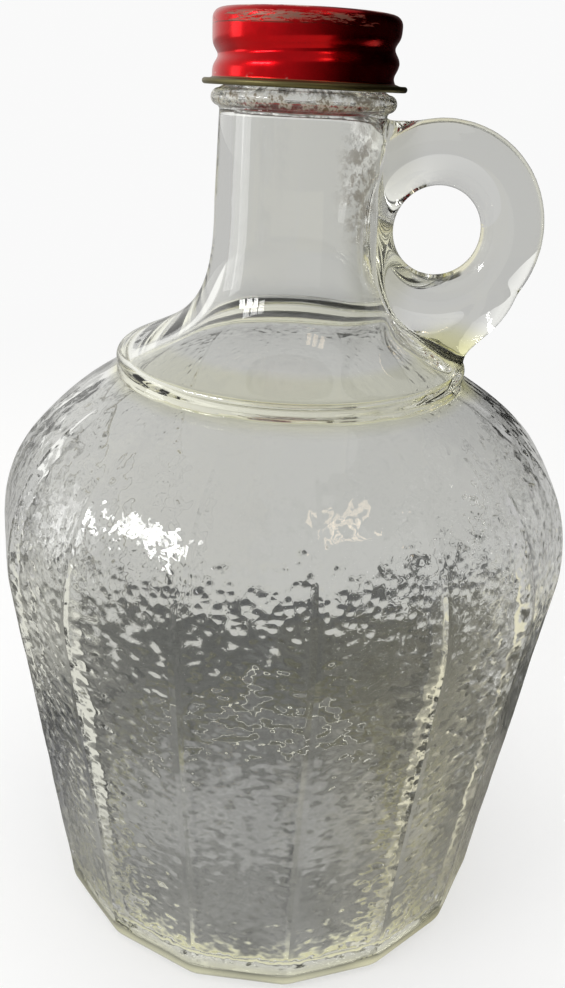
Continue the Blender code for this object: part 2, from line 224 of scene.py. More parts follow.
class Builder:
    """Adds nodes to one tree and links them."""

    def __init__(self, tree):
        self.tree = tree

    def add(self, kind, settings=None, sockets=None, output=0):
        """Add a node: its settings first, then the values or links of its sockets."""
        node = self.tree.nodes.new(kind)
        for name, setting in (settings or {}).items():
            setattr(node, name, setting)
        for name, given in (sockets or {}).items():
            if isinstance(given, Value):
                self.tree.links.new(given.socket, node.inputs[name])
            else:
                node.inputs[name].default_value = given
        return Value(self, node.outputs[output])

    def output(self, value, name):
        """Another output of the node that a value comes from."""
        return Value(self, value.socket.node.outputs[name])

    def smooth_step(self, value, low, high):
        """0 below low, 1 above high and a soft rise between. With low above high it falls."""
        settings = {"interpolation_type": "SMOOTHSTEP"}
        sockets = {"Value": value, "From Min": low, "From Max": high, "To Min": 0.0, "To Max": 1.0}
        return self.add("ShaderNodeMapRange", settings, sockets)

    def largest(self, first, second):
        return self.add("ShaderNodeMath", {"operation": "MAXIMUM"}, {0: first, 1: second})

    def smallest(self, first, second):
        return self.add("ShaderNodeMath", {"operation": "MINIMUM"}, {0: first, 1: second})

    def absolute(self, value):
        return self.add("ShaderNodeMath", {"operation": "ABSOLUTE"}, {0: value})

    def vector_math(self, operation, first, second=None, output=0):
        sockets = {0: first} if second is None else {0: first, 1: second}
        return self.add("ShaderNodeVectorMath", {"operation": operation}, sockets, output)

    def dot(self, first, second):
        """The dot product of two vectors."""
        return self.vector_math("DOT_PRODUCT", first, second, "Value")

    def mix_color(self, factor, first, second):
        """A colour between two colours."""
        made = self.add("ShaderNodeMix", {"data_type": "RGBA"}, {"Factor": factor})
        node = made.socket.node
        for index, given in zip(COLOR_SOCKETS, (first, second)):
            if isinstance(given, Value):
                self.tree.links.new(given.socket, node.inputs[index])
            else:
                node.inputs[index].default_value = (*given, 1.0)
        return Value(self, node.outputs[COLOR_OUTPUT])

    def separate(self, vector):
        """The three parts of a vector."""
        first = self.add("ShaderNodeSeparateXYZ", None, {0: vector})
        return [Value(self, socket) for socket in first.socket.node.outputs]

    def combine(self, x, y, z):
        return self.add("ShaderNodeCombineXYZ", None, {0: x, 1: y, 2: z})

    def scaled(self, vector, factors):
        """A vector with each part multiplied."""
        return self.vector_math("MULTIPLY", vector, factors)

    def noise(self, vector, scale, detail=2.0, roughness=0.5, dimensions="3D"):
        settings = {"noise_dimensions": dimensions}
        sockets = {"Vector": vector, "Scale": scale, "Detail": detail, "Roughness": roughness}
        return self.add("ShaderNodeTexNoise", settings, sockets)

    def nearest_point(self, vector, scale):
        """The nearest of many scattered points in a plane, for a spacing of 1 divided by scale."""
        sockets = {"Vector": vector, "Scale": scale}
        return self.add("ShaderNodeTexVoronoi", {"voronoi_dimensions": "2D"}, sockets, "Position")

    def object_coordinates(self):
        return self.add("ShaderNodeTexCoord", output="Object")


def new_material(name):
    """A material with an empty tree: its builder and its output node."""
    material = bpy.data.materials.new(name)
    material.use_nodes = True
    material.node_tree.nodes.clear()
    builder = Builder(material.node_tree)
    output = material.node_tree.nodes.new("ShaderNodeOutputMaterial")
    return material, builder, output


# ---------------------------------------------------------------- shape helpers


def bezier(start, start_handle, end_handle, end, step=ROW_STEP):
    """Points along a cubic curve of (radius, height) pairs, both ends included."""
    controls = np.array([start, start_handle, end_handle, end])
    length = np.linalg.norm(np.diff(controls, axis=0), axis=1).sum()
    t = np.linspace(0, 1, max(3, round(length / step) + 1))[:, None]
    weights = np.hstack([(1 - t) ** 3, 3 * t * (1 - t) ** 2, 3 * t**2 * (1 - t), t**3])
    return [tuple(point) for point in weights @ controls]


def line(start, end, step=ROW_STEP):
    """Points along a straight stretch, both ends included."""
    length = math.dist(start, end)
    t = np.linspace(0, 1, max(2, round(length / step) + 1))[:, None]
    return [tuple(point) for point in (1 - t) * np.array(start) + t * np.array(end)]


def arc(centre, radii, start_degrees, end_degrees, count):
    """Points along an ellipse's arc round a (radius, height) centre, both ends included."""
    angles = np.radians(np.linspace(start_degrees, end_degrees, count))
    return [(centre[0] + radii[0] * math.cos(a), centre[1] + radii[1] * math.sin(a)) for a in angles]


def panel_factors(columns, flatness):
    """Angle of each column, closest together at the ridges, and its distance for a ridge radius of 1.

    A flatness of 0 gives a circle of the panels' mean radius, and 1 gives flat panels."""
    share = (np.arange(columns) * 2 * PANEL_COUNT / columns + 1) % 2 - 1
    from_middle = HALF_PANEL * (share + 0.4 * np.sin(np.pi * share) / np.pi)
    panel = np.floor((np.arange(columns) * 2 * PANEL_COUNT / columns + 1) / 2)
    angles = panel * 2 * HALF_PANEL + from_middle
    flat = math.cos(HALF_PANEL) / np.cos(from_middle)
    flat = (flat + RIDGE_CUT - np.sqrt((flat - RIDGE_CUT) ** 2 + RIDGE_SOFTNESS**2)) / 2
    return angles, ROUND_FACTOR + (flat - ROUND_FACTOR) * flatness


def circular(points):
    """Rows of a true circle."""
    return [(radius / ROUND_FACTOR, height, 0.0) for radius, height in points]


def new_object(name, vertices, faces):
    """A smooth-shaded object from vertices and faces."""
    mesh = bpy.data.meshes.new(name)
    mesh.from_pydata([tuple(v) for v in vertices], [], [tuple(f) for f in faces])
    mesh.validate()
    mesh.shade_smooth()
    made = bpy.data.objects.new(name, mesh)
    bpy.context.scene.collection.objects.link(made)
    return made


def lofted(name, rows, columns):
    """A closed solid through rows given from top to bottom as (ridge radius, height, flatness)."""
    rings = []
    for radius, height, flatness in rows:
        angles, factors = panel_factors(columns, flatness)
        reach = radius * factors
        rings.append(
            np.stack([reach * np.cos(angles), reach * np.sin(angles), np.full(columns, height)], 1)
        )
    count = len(rings)
    vertices = np.concatenate(rings)
    top = np.array([[0.0, 0.0, rows[0][1]], [0.0, 0.0, rows[-1][1]]])
    vertices = np.concatenate([vertices, top])
    column = np.arange(columns)
    after = (column + 1) % columns
    faces = []
    for row in range(count - 1):
        upper, lower = row * columns, (row + 1) * columns
        faces += np.stack([upper + column, lower + column, lower + after, upper + after], 1).tolist()
    first, last = count * columns, count * columns + 1
    faces += np.stack([np.full(columns, first), column, after], 1).tolist()
    lower = (count - 1) * columns
    faces += np.stack([np.full(columns, last), lower + after, lower + column], 1).tolist()
    return new_object(name, vertices, faces)


def plain_mesh(obj):
    """Apply an object's modifiers, so that it holds a plain mesh."""
    bpy.context.view_layer.update()
    graph = bpy.context.evaluated_depsgraph_get()
    mesh = bpy.data.meshes.new_from_object(obj.evaluated_get(graph))
    obj.modifiers.clear()
    obj.data = mesh
    mesh.shade_smooth()
    return obj


def add_modifier(obj, kind, **settings):
    modifier = obj.modifiers.new(kind.title(), kind)
    for name, setting in settings.items():
        setattr(modifier, name, setting)
    return modifier


def add_boolean(obj, other, operation):
    return add_modifier(obj, "BOOLEAN", object=other, operation=operation, solver="MANIFOLD")


def remove(obj):
    bpy.data.objects.remove(obj)


def new_geometry_tree(name, inputs):
    """A Geometry Nodes tree with a geometry in, a geometry out and named inputs for its sizes."""
    tree = bpy.data.node_groups.new(name, "GeometryNodeTree")
    tree.interface.new_socket("Geometry", in_out="OUTPUT", socket_type="NodeSocketGeometry")
    tree.interface.new_socket("Geometry", in_out="INPUT", socket_type="NodeSocketGeometry")
    for label, kind in inputs:
        tree.interface.new_socket(label, in_out="INPUT", socket_type=kind)
    builder = Builder(tree)
    group_in = tree.nodes.new("NodeGroupInput")
    given = {socket.name: Value(builder, socket) for socket in group_in.outputs if socket.name}
    return builder, given


def finish_tree(builder, geometry, material):
    """End a tree in Realize Instances and Set Material."""
    real = builder.add("GeometryNodeRealizeInstances", None, {"Geometry": geometry})
    done = builder.add("GeometryNodeSetMaterial", None, {"Geometry": real, "Material": material})
    output = builder.tree.nodes.new("NodeGroupOutput")
    builder.tree.links.new(done.socket, output.inputs[0])


def use_tree(obj, tree, sizes):
    """Add the tree to an object, with its inputs set by name."""
    modifier = obj.modifiers.new(tree.name, "NODES")
    modifier.node_group = tree
    for item in tree.interface.items_tree:
        if item.item_type == "SOCKET" and item.in_out == "INPUT" and item.name in sizes:
            modifier[item.identifier] = sizes[item.name]
    return plain_mesh(obj)


# ---------------------------------------------------------------- glass


def finish_points():
    """The lip, the finish and the bead, from the top down."""
    lip_centre = (FINISH_RADIUS - LIP_ROUND, LIP_HEIGHT - LIP_ROUND)
    bead_top = BEAD_HEIGHT + BEAD_HALF_HEIGHT
    points = [(FINISH_RADIUS - 2 * LIP_ROUND, LIP_HEIGHT)]
    points += arc(lip_centre, (LIP_ROUND, LIP_ROUND), 90, 0, 7)
    points += line((FINISH_RADIUS, LIP_HEIGHT - 1.5 * LIP_ROUND), (FINISH_RADIUS, bead_top + 0.6 * MM))
    bead_radii = (BEAD_RADIUS - NECK_TOP_RADIUS, BEAD_HALF_HEIGHT)
    points += arc((NECK_TOP_RADIUS, BEAD_HEIGHT), bead_radii, 86, -80, 15)
    return points


def neck_points():
    """The neck, its flare and the collar."""
    below_bead = BEAD_HEIGHT - BEAD_HALF_HEIGHT - 0.5 * MM
    round_centre = (COLLAR_RADIUS - COLLAR_ROUND, COLLAR_ROUND_HEIGHT)
    slope = FLARE_END_SLOPE
    flare_end = (
        round_centre[0] + COLLAR_ROUND * math.sin(slope),
        round_centre[1] + COLLAR_ROUND * math.cos(slope),
    )
    flare_handle = (
        flare_end[0] - FLARE_LENGTH * math.cos(slope),
        flare_end[1] + FLARE_LENGTH * math.sin(slope),
    )
    neck_foot = (NECK_RADIUS, NECK_FOOT)
    points = line((NECK_TOP_RADIUS, below_bead), (NECK_RADIUS, NECK_FOOT + ROW_STEP))
    points += bezier(neck_foot, (NECK_RADIUS, NECK_FOOT - NECK_DROP), flare_handle, flare_end, 1.0 * MM)
    points += arc(round_centre, (COLLAR_ROUND, COLLAR_ROUND), 90 - math.degrees(slope), 0, 9)[1:]
    groove_radius = (COLLAR_RADIUS + COLLAR_FOOT[0]) / 2 - COLLAR_GROOVE_DEPTH
    groove_top = (COLLAR_RADIUS - 0.04 * MM, COLLAR_GROOVE_HEIGHT + 0.7 * MM)
    points += [groove_top, (groove_radius, COLLAR_GROOVE_HEIGHT + 0.15 * MM)]
    points += [(groove_radius, COLLAR_GROOVE_HEIGHT - 0.15 * MM)]
    points += [(COLLAR_FOOT[0] + 0.1 * MM, COLLAR_GROOVE_HEIGHT - 0.6 * MM), COLLAR_FOOT]
    return points


def shoulder_flatness(height, top):
    """The panels are flat up to the widest part and fade out towards the collar."""
    share = min(max((top - height) / (top - WIDEST_HEIGHT), 0.0), 1.0)
    return SHOULDER_FLATNESS + (1 - SHOULDER_FLATNESS) * share**SHOULDER_FADE_POWER


def outer_rows():
    """All rows of the outside, from the lip to the middle of the base."""
    rows = circular(finish_points() + neck_points())
    top = (COLLAR_FOOT[0] + 0.5 * MM, SHOULDER_TOP)
    top_handle = (top[0] + 8.0 * MM, top[1] - 6.0 * MM)
    widest = (WIDEST_RADIUS, WIDEST_HEIGHT)
    widest_handle = (WIDEST_RADIUS + 0.9 * MM, WIDEST_HEIGHT + 29.0 * MM)
    wall_foot = (BASE_RADIUS + HEEL_ROUND, HEEL_ROUND)
    points = bezier(top, top_handle, widest_handle, widest)
    points += line(widest, wall_foot)[1:-1]
    points += arc((BASE_RADIUS, HEEL_ROUND), (HEEL_ROUND, HEEL_ROUND), 0, -90, 10)
    for radius, height in points:
        rows.append((radius, height, shoulder_flatness(height, SHOULDER_TOP)))
    rows += [(radius, 0.0, 1.0) for radius in np.linspace(BASE_RADIUS - 1.5 * MM, BEARING_RADIUS, 4)]
    rows.append((PUSH_UP_RADIUS + 2.0 * MM, 0.3 * PUSH_UP_HEIGHT, 0.8))
    rows.append((PUSH_UP_RADIUS, 0.6 * PUSH_UP_HEIGHT, 0.5))
    middle = bezier(
        (0.93 * PUSH_UP_RADIUS, 0.75 * PUSH_UP_HEIGHT),
        (0.7 * PUSH_UP_RADIUS, PUSH_UP_HEIGHT),
        (0.4 * PUSH_UP_RADIUS, PUSH_UP_HEIGHT),
        (0.05 * PUSH_UP_RADIUS, PUSH_UP_HEIGHT),
        2.5 * MM,
    )
    return rows + circular(middle)


def cavity_rows(wall):
    """All rows of the inside, from above the lip to the floor."""
    points = line((BORE_RADIUS, LIP_HEIGHT + 4.0 * MM), (BORE_RADIUS, NECK_FOOT))
    bore_foot = (BORE_RADIUS, NECK_FOOT - 1.5 * MM)
    bore_handle = (BORE_RADIUS, NECK_FOOT - 24.5 * MM)
    points += bezier(bore_foot, bore_handle, (24.0 * MM, 142.3 * MM), CAVITY_FLARE_FOOT)
    rows = circular(points)
    widest = (WIDEST_RADIUS - wall, WIDEST_HEIGHT - 1.0 * MM)
    widest_handle = (widest[0] + 0.8 * MM, widest[1] + 28.5 * MM)
    flare_handle = (CAVITY_FLARE_FOOT[0] + 9.0 * MM, CAVITY_FLARE_FOOT[1] - 5.3 * MM)
    inside = bezier(CAVITY_FLARE_FOOT, flare_handle, widest_handle, widest)[1:]
    corner_radius = BASE_RADIUS + HEEL_ROUND - wall - FLOOR_ROUND + 0.8 * MM
    corner = (corner_radius, FLOOR_HEIGHT + FLOOR_ROUND)
    inside += line(widest, (corner[0] + FLOOR_ROUND, corner[1]), 2.0 * MM)[1:-1]
    inside += arc(corner, (FLOOR_ROUND, FLOOR_ROUND), 0, -90, 9)
    for radius, height in inside:
        flatness = INNER_FLATNESS * shoulder_flatness(height, CAVITY_FLARE_FOOT[1])
        rows.append((radius, height, flatness))
    floor = line((0.93 * corner_radius, FLOOR_HEIGHT), (0.05 * corner_radius, FLOOR_HEIGHT), 3.0 * MM)
    return rows + circular(floor)


def swell_cavity(cavity):
    """Let the inside swell towards the two roots of the handle."""
    mesh = cavity.data
    points = np.empty(3 * len(mesh.vertices))
    mesh.vertices.foreach_get("co", points)
    points = points.reshape(-1, 3)
    toward = np.maximum(points[:, 0] / np.maximum(np.hypot(points[:, 0], points[:, 1]), MM), 0) ** 4
    for height, reach, spread in CAVITY_SWELLS:
        points[:, 0] += toward * reach * np.exp(-(((points[:, 2] - height) / spread) ** 2))
    mesh.vertices.foreach_set("co", points.ravel())


def limb(name, stations):
    """A round limb of the handle through (x, z, radius) stations in its plane, with round ends."""
    curve = bpy.data.curves.new(name, "CURVE")
    curve.dimensions = "3D"
    curve.bevel_depth = 1.0
    curve.bevel_resolution = LIMB_SIDES // 4
    curve.use_fill_caps = True
    spline = curve.splines.new("NURBS")
    spline.points.add(len(stations) - 1)
    for point, (x, z, radius) in zip(spline.points, stations):
        point.co = (x, 0.0, z, 1.0)
        point.radius = radius
    spline.use_endpoint_u = True
    spline.order_u = 3
    spline.resolution_u = 8
    made = bpy.data.objects.new(name, curve)
    bpy.context.scene.collection.objects.link(made)
    bpy.context.view_layer.update()
    graph = bpy.context.evaluated_depsgraph_get()
    mesh = bpy.data.meshes.new_from_object(made.evaluated_get(graph))
    remove(made)
    solid = bpy.data.objects.new(name, mesh)
    bpy.context.scene.collection.objects.link(solid)
    add_modifier(solid, "WELD", merge_threshold=0.01 * MM)
    return plain_mesh(solid)


def handle_ring():
    """The ring of the handle: a torus standing in the XZ plane, flattened along Y."""
    bpy.ops.mesh.primitive_torus_add(
        major_segments=96,
        minor_segments=40,
        major_radius=RING_RADIUS,
        minor_radius=RING_HALF_WIDTH,
    )
    ring = bpy.context.object
    squeeze = Matrix.Diagonal((1.0, 1.0, RING_HALF_THICKNESS / RING_HALF_WIDTH, 1.0))
    upright = Matrix.Rotation(math.pi / 2, 4, "X")
    place = Matrix.Translation((RING_CENTRE[0], 0.0, RING_CENTRE[1]))
    ring.data.transform(place @ upright @ squeeze)
    return ring


# The blend of handle and neck. The trimming box keeps only the side of the neck that the handle grows from.
CORE_COLUMNS = 96
CORE_INSET = 0.35 * MM
BLEND_VOXEL = 0.6 * MM
BLEND_ROUNDS = 14
BLEND_REGAIN = 0.12 * MM
TRIM_LOW = (8.0 * MM, -22.0 * MM, 137.5 * MM)
TRIM_HIGH = (60.0 * MM, 22.0 * MM, 192.0 * MM)


def blended_handle():
    """Ring, leg and corner glass run together with the neck, as softly as poured glass does."""
    core_rows = circular([(r - CORE_INSET, z) for r, z in neck_points()])
    core = lofted("handle_core", core_rows, CORE_COLUMNS)
    for other in (
        handle_ring(),
        limb("handle_leg", LEG_STATIONS),
        limb("handle_bar", BAR_STATIONS),
        limb("handle_web", WEB_STATIONS),
    ):
        add_boolean(core, other, "UNION")
        plain_mesh(core)
        remove(other)
    trim = trimming_block()
    add_boolean(core, trim, "INTERSECT")
    plain_mesh(core)
    remove(trim)
    add_modifier(core, "REMESH", mode="VOXEL", voxel_size=BLEND_VOXEL)
    add_modifier(core, "SMOOTH", factor=0.5, iterations=BLEND_ROUNDS)
    add_modifier(core, "DISPLACE", strength=BLEND_REGAIN, mid_level=0.0)
    return plain_mesh(core)


def trimming_block():
    """The box between TRIM_LOW and TRIM_HIGH."""
    along_x, along_y, along_z = zip(TRIM_LOW, TRIM_HIGH)
    corners = [(x, y, z) for x in along_x for y in along_y for z in along_z]
    faces = [(0, 1, 3, 2), (4, 6, 7, 5), (0, 4, 5, 1), (2, 3, 7, 6), (0, 2, 6, 4), (1, 5, 7, 3)]
    return new_object("handle_trim", corners, faces)


# Relief of the mould. RELIEF_MIDDLE is the push that leaves the glass where it is.
RELIEF_MIDDLE = 0.8
PANEL_FADE = 14.0 * MM
HEEL_FADE = 5.0 * MM
SHOULDER_FADE = 8.0 * MM


def relief_tree(material):
    """Pushes the glass in and out along its normals, as the mould's pebbled panels do."""
    inputs = [
        ("Pebble Size", "NodeSocketFloat"),
        ("Pebble Depth", "NodeSocketFloat"),
        ("Wave Size", "NodeSocketFloat"),
        ("Wave Depth", "NodeSocketFloat"),
        ("Panel Top", "NodeSocketFloat"),
    ]
    builder, given = new_geometry_tree("Pebbled Panels", inputs)
    position = builder.add("GeometryNodeInputPosition")
    normal = builder.add("GeometryNodeInputNormal")
    height = builder.separate(position)[2]
    panel = builder.smooth_step(height, given["Panel Top"], given["Panel Top"] - PANEL_FADE)
    panel = panel * builder.smooth_step(height, HEEL_ROUND, HEEL_ROUND + HEEL_FADE)
    pebbles = builder.noise(position, 1.0 / given["Pebble Size"], 1.0)
    waves = builder.noise(position, 1.0 / given["Wave Size"], 1.0)
    body = builder.smooth_step(height, SHOULDER_TOP, SHOULDER_TOP - SHOULDER_FADE)
    body = body * builder.smooth_step(height, 0.0, HEEL_ROUND)
    push = (pebbles - RELIEF_MIDDLE) * given["Pebble Depth"] * panel
    push = push + (waves - RELIEF_MIDDLE) * given["Wave Depth"] * body
    offset = builder.add("ShaderNodeVectorMath", {"operation": "SCALE"}, {0: normal, "Scale": push})
    moved = builder.add(
        "GeometryNodeSetPosition", None, {"Geometry": given["Geometry"], "Offset": offset}
    )
    finish_tree(builder, moved, material)
    return builder.tree


def thread_tree(material):
    """One helical ridge, from its height, radius and number of turns."""
    inputs = [
        ("Turns", "NodeSocketFloat"),
        ("Radius", "NodeSocketFloat"),
        ("Drop", "NodeSocketFloat"),
        ("Thickness", "NodeSocketFloat"),
    ]
    builder, given = new_geometry_tree("Neck Thread", inputs)
    sockets = {
        "Resolution": 96,
        "Rotations": given["Turns"],
        "Start Radius": given["Radius"],
        "End Radius": given["Radius"],
        "Height": given["Drop"],
        "Reverse": True,
    }
    spiral = builder.add("GeometryNodeCurveSpiral", None, sockets)
    profile = builder.add(
        "GeometryNodeCurvePrimitiveCircle", None, {"Resolution": 12, "Radius": given["Thickness"]}
    )
    ridge = builder.add(
        "GeometryNodeCurveToMesh", None, {"Curve": spiral, "Profile Curve": profile, "Fill Caps": True}
    )
    finish_tree(builder, ridge, material)
    return builder.tree


# The thread: its centre line runs just inside the finish, from THREAD_FOOT up.
THREAD_TURNS = 1.2
THREAD_INSET = 0.15 * MM
THREAD_DROP = 6.36 * MM
THREAD_THICKNESS = 0.85 * MM
THREAD_FOOT = 199.24 * MM


def neck_thread(material):
    """The ridge that the cap screws onto."""
    thread = new_object("neck_thread", [(0, 0, 0)], [])
    sizes = {
        "Turns": THREAD_TURNS,
        "Radius": FINISH_RADIUS - THREAD_INSET,
        "Drop": THREAD_DROP,
        "Thickness": THREAD_THICKNESS,
    }
    use_tree(thread, thread_tree(material), sizes)
    turn = Matrix.Rotation(GROOVE_START, 4, "Z")
    thread.data.transform(Matrix.Translation((0, 0, THREAD_FOOT)) @ turn)
    add_modifier(thread, "WELD", merge_threshold=0.01 * MM)
    return plain_mesh(thread)


# Surface of the panels. Each pair is where a smooth step starts and ends. The first four are heights: from
# the top of the pebbles, and at the heel from the base. RIB_EDGE is a share of a panel's width.
PEBBLE_FADE_IN = (12.0 * MM, -8.0 * MM)
PEBBLE_FADE_OUT = (-3.0 * MM, -11.0 * MM)
WRINKLE_FADE_IN = (22.0 * MM, 13.0 * MM)
HEEL_FADE_OUT = (HEEL_ROUND + 1.0 * MM, HEEL_ROUND + 5.0 * MM)
RIB_EDGE = (0.435, 0.47)
WANDER_SIZE = 9.0 * MM
WANDER_REACH = 22.0 * MM
PEBBLE_REACH = (0.26, 0.56)
PEBBLES_LEFT_BELOW = 0.15
WRINKLE_STRETCH = (0.75, 1.25, 0.0)
SHOULDER_WRINKLES = 0.55
UPPER_WRINKLES = 0.22
PANEL_WRINKLES = (0.6, 1.1)
RIB_SMOOTHNESS = 0.8
RIB_ON_SHOULDER = 0.4


def between(ends, share):
    """The value at a share of the way from the first end to the second."""
    return ends[0] + (ends[1] - ends[0]) * share


def pebbled_normal(builder, properties, around, surface):
    """The normal of the glass: round pebbles and fine wrinkles on the outside of the panels.

    around is the place on the unrolled outside. surface is what the shader knows of the place: its normal,
    its side, whether it is outside, and x, y and height."""
    normal, facing, outside, x, y, height = surface
    above_top = height - properties.panel_top
    size = properties.pebble_size
    wander = (builder.noise(around, 1.0 / WANDER_SIZE, 1.0, 0.5, "2D") - 0.5) * WANDER_REACH
    panel = builder.smooth_step(above_top + wander, *PEBBLE_FADE_IN)
    shoulder = builder.smooth_step(above_top + 0.5 * wander, *WRINKLE_FADE_IN)
    lower = builder.smooth_step(above_top + 0.4 * wander, *PEBBLE_FADE_OUT)
    heel = builder.smooth_step(height, *HEEL_FADE_OUT)

    # A pebble's height falls as the square of one minus the squared distance, hence the factor of 4.
    apart = builder.vector_math("SUBTRACT", around, builder.nearest_point(around, 1.0 / size))
    across, up, unused = builder.separate(apart)
    reach = between(PEBBLE_REACH, panel) * size
    share = builder.largest(1.0 - (across * across + up * up) / (reach * reach), 0.0)
    kept = panel * between((1.0, PEBBLES_LEFT_BELOW), lower)
    steep = share * kept * (4.0 * properties.pebble_depth) / (reach * reach)

    # Each panel has a number of its own, and a rib where it meets the next.
    turned = builder.separate(around)[0] / (2.0 * HALF_PANEL * WIDEST_RADIUS)
    side = builder.add("ShaderNodeMath", {"operation": "ROUND"}, {0: turned})
    each = builder.add("ShaderNodeTexWhiteNoise", {"noise_dimensions": "1D"}, {"W": side}, "Value")
    from_middle = turned - side
    rib = builder.smooth_step(builder.absolute(from_middle), *RIB_EDGE)
    smooth = 1.0 - RIB_SMOOTHNESS * rib
    rib_lean = from_middle * rib * (-2.0 * properties.rib_slope) * shoulder
    rib_lean = rib_lean * between((RIB_ON_SHOULDER, 1.0), panel)

    wrinkle = builder.add(
        "ShaderNodeTexNoise",
        {"noise_dimensions": "2D"},
        {
            "Vector": builder.scaled(around, WRINKLE_STRETCH),
            "Scale": 1.0 / properties.wrinkle_size,
            "Detail": 1.0,
        },
        "Color",
    )
    sideways, rise, unused = builder.separate(wrinkle)
    uneven = between(PANEL_WRINKLES, each)
    rough = panel * (UPPER_WRINKLES + (1.0 - UPPER_WRINKLES) * lower * uneven)
    rough = builder.largest(shoulder * SHOULDER_WRINKLES, rough) * smooth * properties.wrinkle_slope
    steep = steep * smooth
    lean = panel * (each - 0.5) * properties.panel_lean + rib_lean

    shown = heel * outside * facing
    sideways = (across * steep + (sideways - 0.5) * rough + lean) * shown
    rise = (up * steep + (rise - 0.5) * rough) * shown
    radius = (x * x + y * y) ** 0.5
    offset = builder.combine(-(y * sideways / radius), x * sideways / radius, rise)
    return builder.vector_math("NORMALIZE", builder.vector_math("ADD", normal, offset))


# Where the glass is thick and shows its colour: distances from a place in the handle, heights at the heel
# and distances from the collar's groove. The neck is a little darker beside the handle: painted shade of the
# handle.
ROOT_FADE = (13.0 * MM, 6.0 * MM)
CORNER_SHORTFALL = 4.0 * MM
HEEL_DEPTH_FADE = (13.0 * MM, 5.0 * MM)
LEDGE_FADE = (3.6 * MM, 1.6 * MM)
LEDGE_DEPTH = 0.6
BESIDE_INNER = (10.0 * MM, 16.0 * MM)
BESIDE_OUTER = (27.0 * MM, 21.0 * MM)
BESIDE_HEIGHT = (142.0 * MM, 152.0 * MM)
BESIDE_HANDLE_SHADE = (0.78, 0.78, 0.73)
BESIDE_HANDLE_SHADE_DEPTH = 0.6

# Old dirt: how far it spreads on the bead and round the stain, and which part of its noise shows.
CRUST_SIZE = 2.6 * MM
DIRT_HEIGHT = BEAD_HEIGHT + 0.4 * MM
DIRT_ON_BEAD = (2.4 * MM, 1.4 * MM)
STAIN_REACH = (8.0 * MM, 2.0 * MM)
STAIN_DEPTH = 0.75
CRUST_EDGE = (0.40, 0.60)
BROWN_EDGE = (0.54, 0.64)
BROWN_IN_STAIN = 2.5


def thick_glass(builder, coordinates, radius, height):
    """Where light crosses thick glass, from 0 to 1: the handle's foot, the heel and the collar's ledge."""
    root = builder.vector_math("DISTANCE", coordinates, HANDLE_ROOT, "Value")
    corner = builder.vector_math("DISTANCE", coordinates, HANDLE_CORNER, "Value") + CORNER_SHORTFALL
    thick = builder.smooth_step(builder.smallest(root, corner), *ROOT_FADE)
    heel = builder.smooth_step(height, *HEEL_DEPTH_FADE)
    heel = heel * builder.smooth_step(radius, BEARING_RADIUS, BASE_RADIUS)
    ledge = builder.smooth_step(builder.absolute(height - COLLAR_GROOVE_HEIGHT), *LEDGE_FADE)
    return builder.largest(builder.largest(thick, heel), ledge * LEDGE_DEPTH)


def old_dirt(builder, properties, coordinates, round_neck, height):
    """How thickly dirt covers the bead and the neck, and its colour."""
    crust = builder.noise(round_neck, 1.0 / CRUST_SIZE, 3.0, 0.75, "2D")
    on_bead = builder.smooth_step(builder.absolute(height - DIRT_HEIGHT), *DIRT_ON_BEAD)
    squeezed = builder.scaled(coordinates, (1.0, 1.0, STAIN_SQUEEZE))
    stain = builder.vector_math("DISTANCE", squeezed, NECK_STAIN, "Value")
    stain = builder.smooth_step(stain, *STAIN_REACH) * STAIN_DEPTH
    dirty = builder.smooth_step(crust, *CRUST_EDGE) * builder.largest(on_bead, stain)
    brown = builder.largest(builder.smooth_step(crust, *BROWN_EDGE), BROWN_IN_STAIN * stain)
    return dirty, builder.mix_color(brown, properties.dirt_color, properties.stain_color)


def clear_glass(properties):
    """Clear glass: pebbled panels outside, smooth above them, with old dirt on the bead and the neck."""
    material, builder, output = new_material("clear_glass")
    normal = builder.add("ShaderNodeNewGeometry", output="Normal")
    facing = 1.0 - 2.0 * builder.output(normal, "Backfacing")
    coordinates = builder.object_coordinates()
    x, y, height = builder.separate(coordinates)
    radius = (x * x + y * y) ** 0.5
    outside = builder.dot(normal, builder.combine(x, y, 0.0)) * facing > 0.0
    angle = builder.add("ShaderNodeMath", {"operation": "ARCTAN2"}, {0: y, 1: x})
    around = builder.combine(angle * WIDEST_RADIUS, height, 0.0)
    surface = (normal, facing, outside, x, y, height)
    # Painted shade: the neck's glass is tinted darker beside the handle.
    beside = builder.smooth_step(x, *BESIDE_INNER) * builder.smooth_step(x, *BESIDE_OUTER)
    beside = beside * builder.smooth_step(height, *BESIDE_HEIGHT)
    thick = thick_glass(builder, coordinates, radius, height)
    color = builder.mix_color(thick, properties.tint, properties.depth_color)
    glass = builder.add(
        "ShaderNodeBsdfPrincipled",
        None,
        {
            "Base Color": builder.mix_color(beside * BESIDE_HANDLE_SHADE_DEPTH, color, BESIDE_HANDLE_SHADE),
            "Roughness": 0.0,
            "IOR": 1.5,
            "Transmission Weight": 1.0,
            "Normal": pebbled_normal(builder, properties, around, surface),
        },
    )
    round_neck = builder.combine(angle * NECK_TOP_RADIUS, height, 0.0)
    dirty, chalk = old_dirt(builder, properties, coordinates, round_neck, height)
    dirt = builder.add("ShaderNodeBsdfPrincipled", None, {"Base Color": chalk, "Roughness": 0.6})
    factor = dirty * outside * properties.bead_dirt
    mixed = builder.add("ShaderNodeMixShader", None, {0: factor, 1: glass, 2: dirt})
    builder.tree.links.new(mixed.socket, output.inputs["Surface"])
    return material


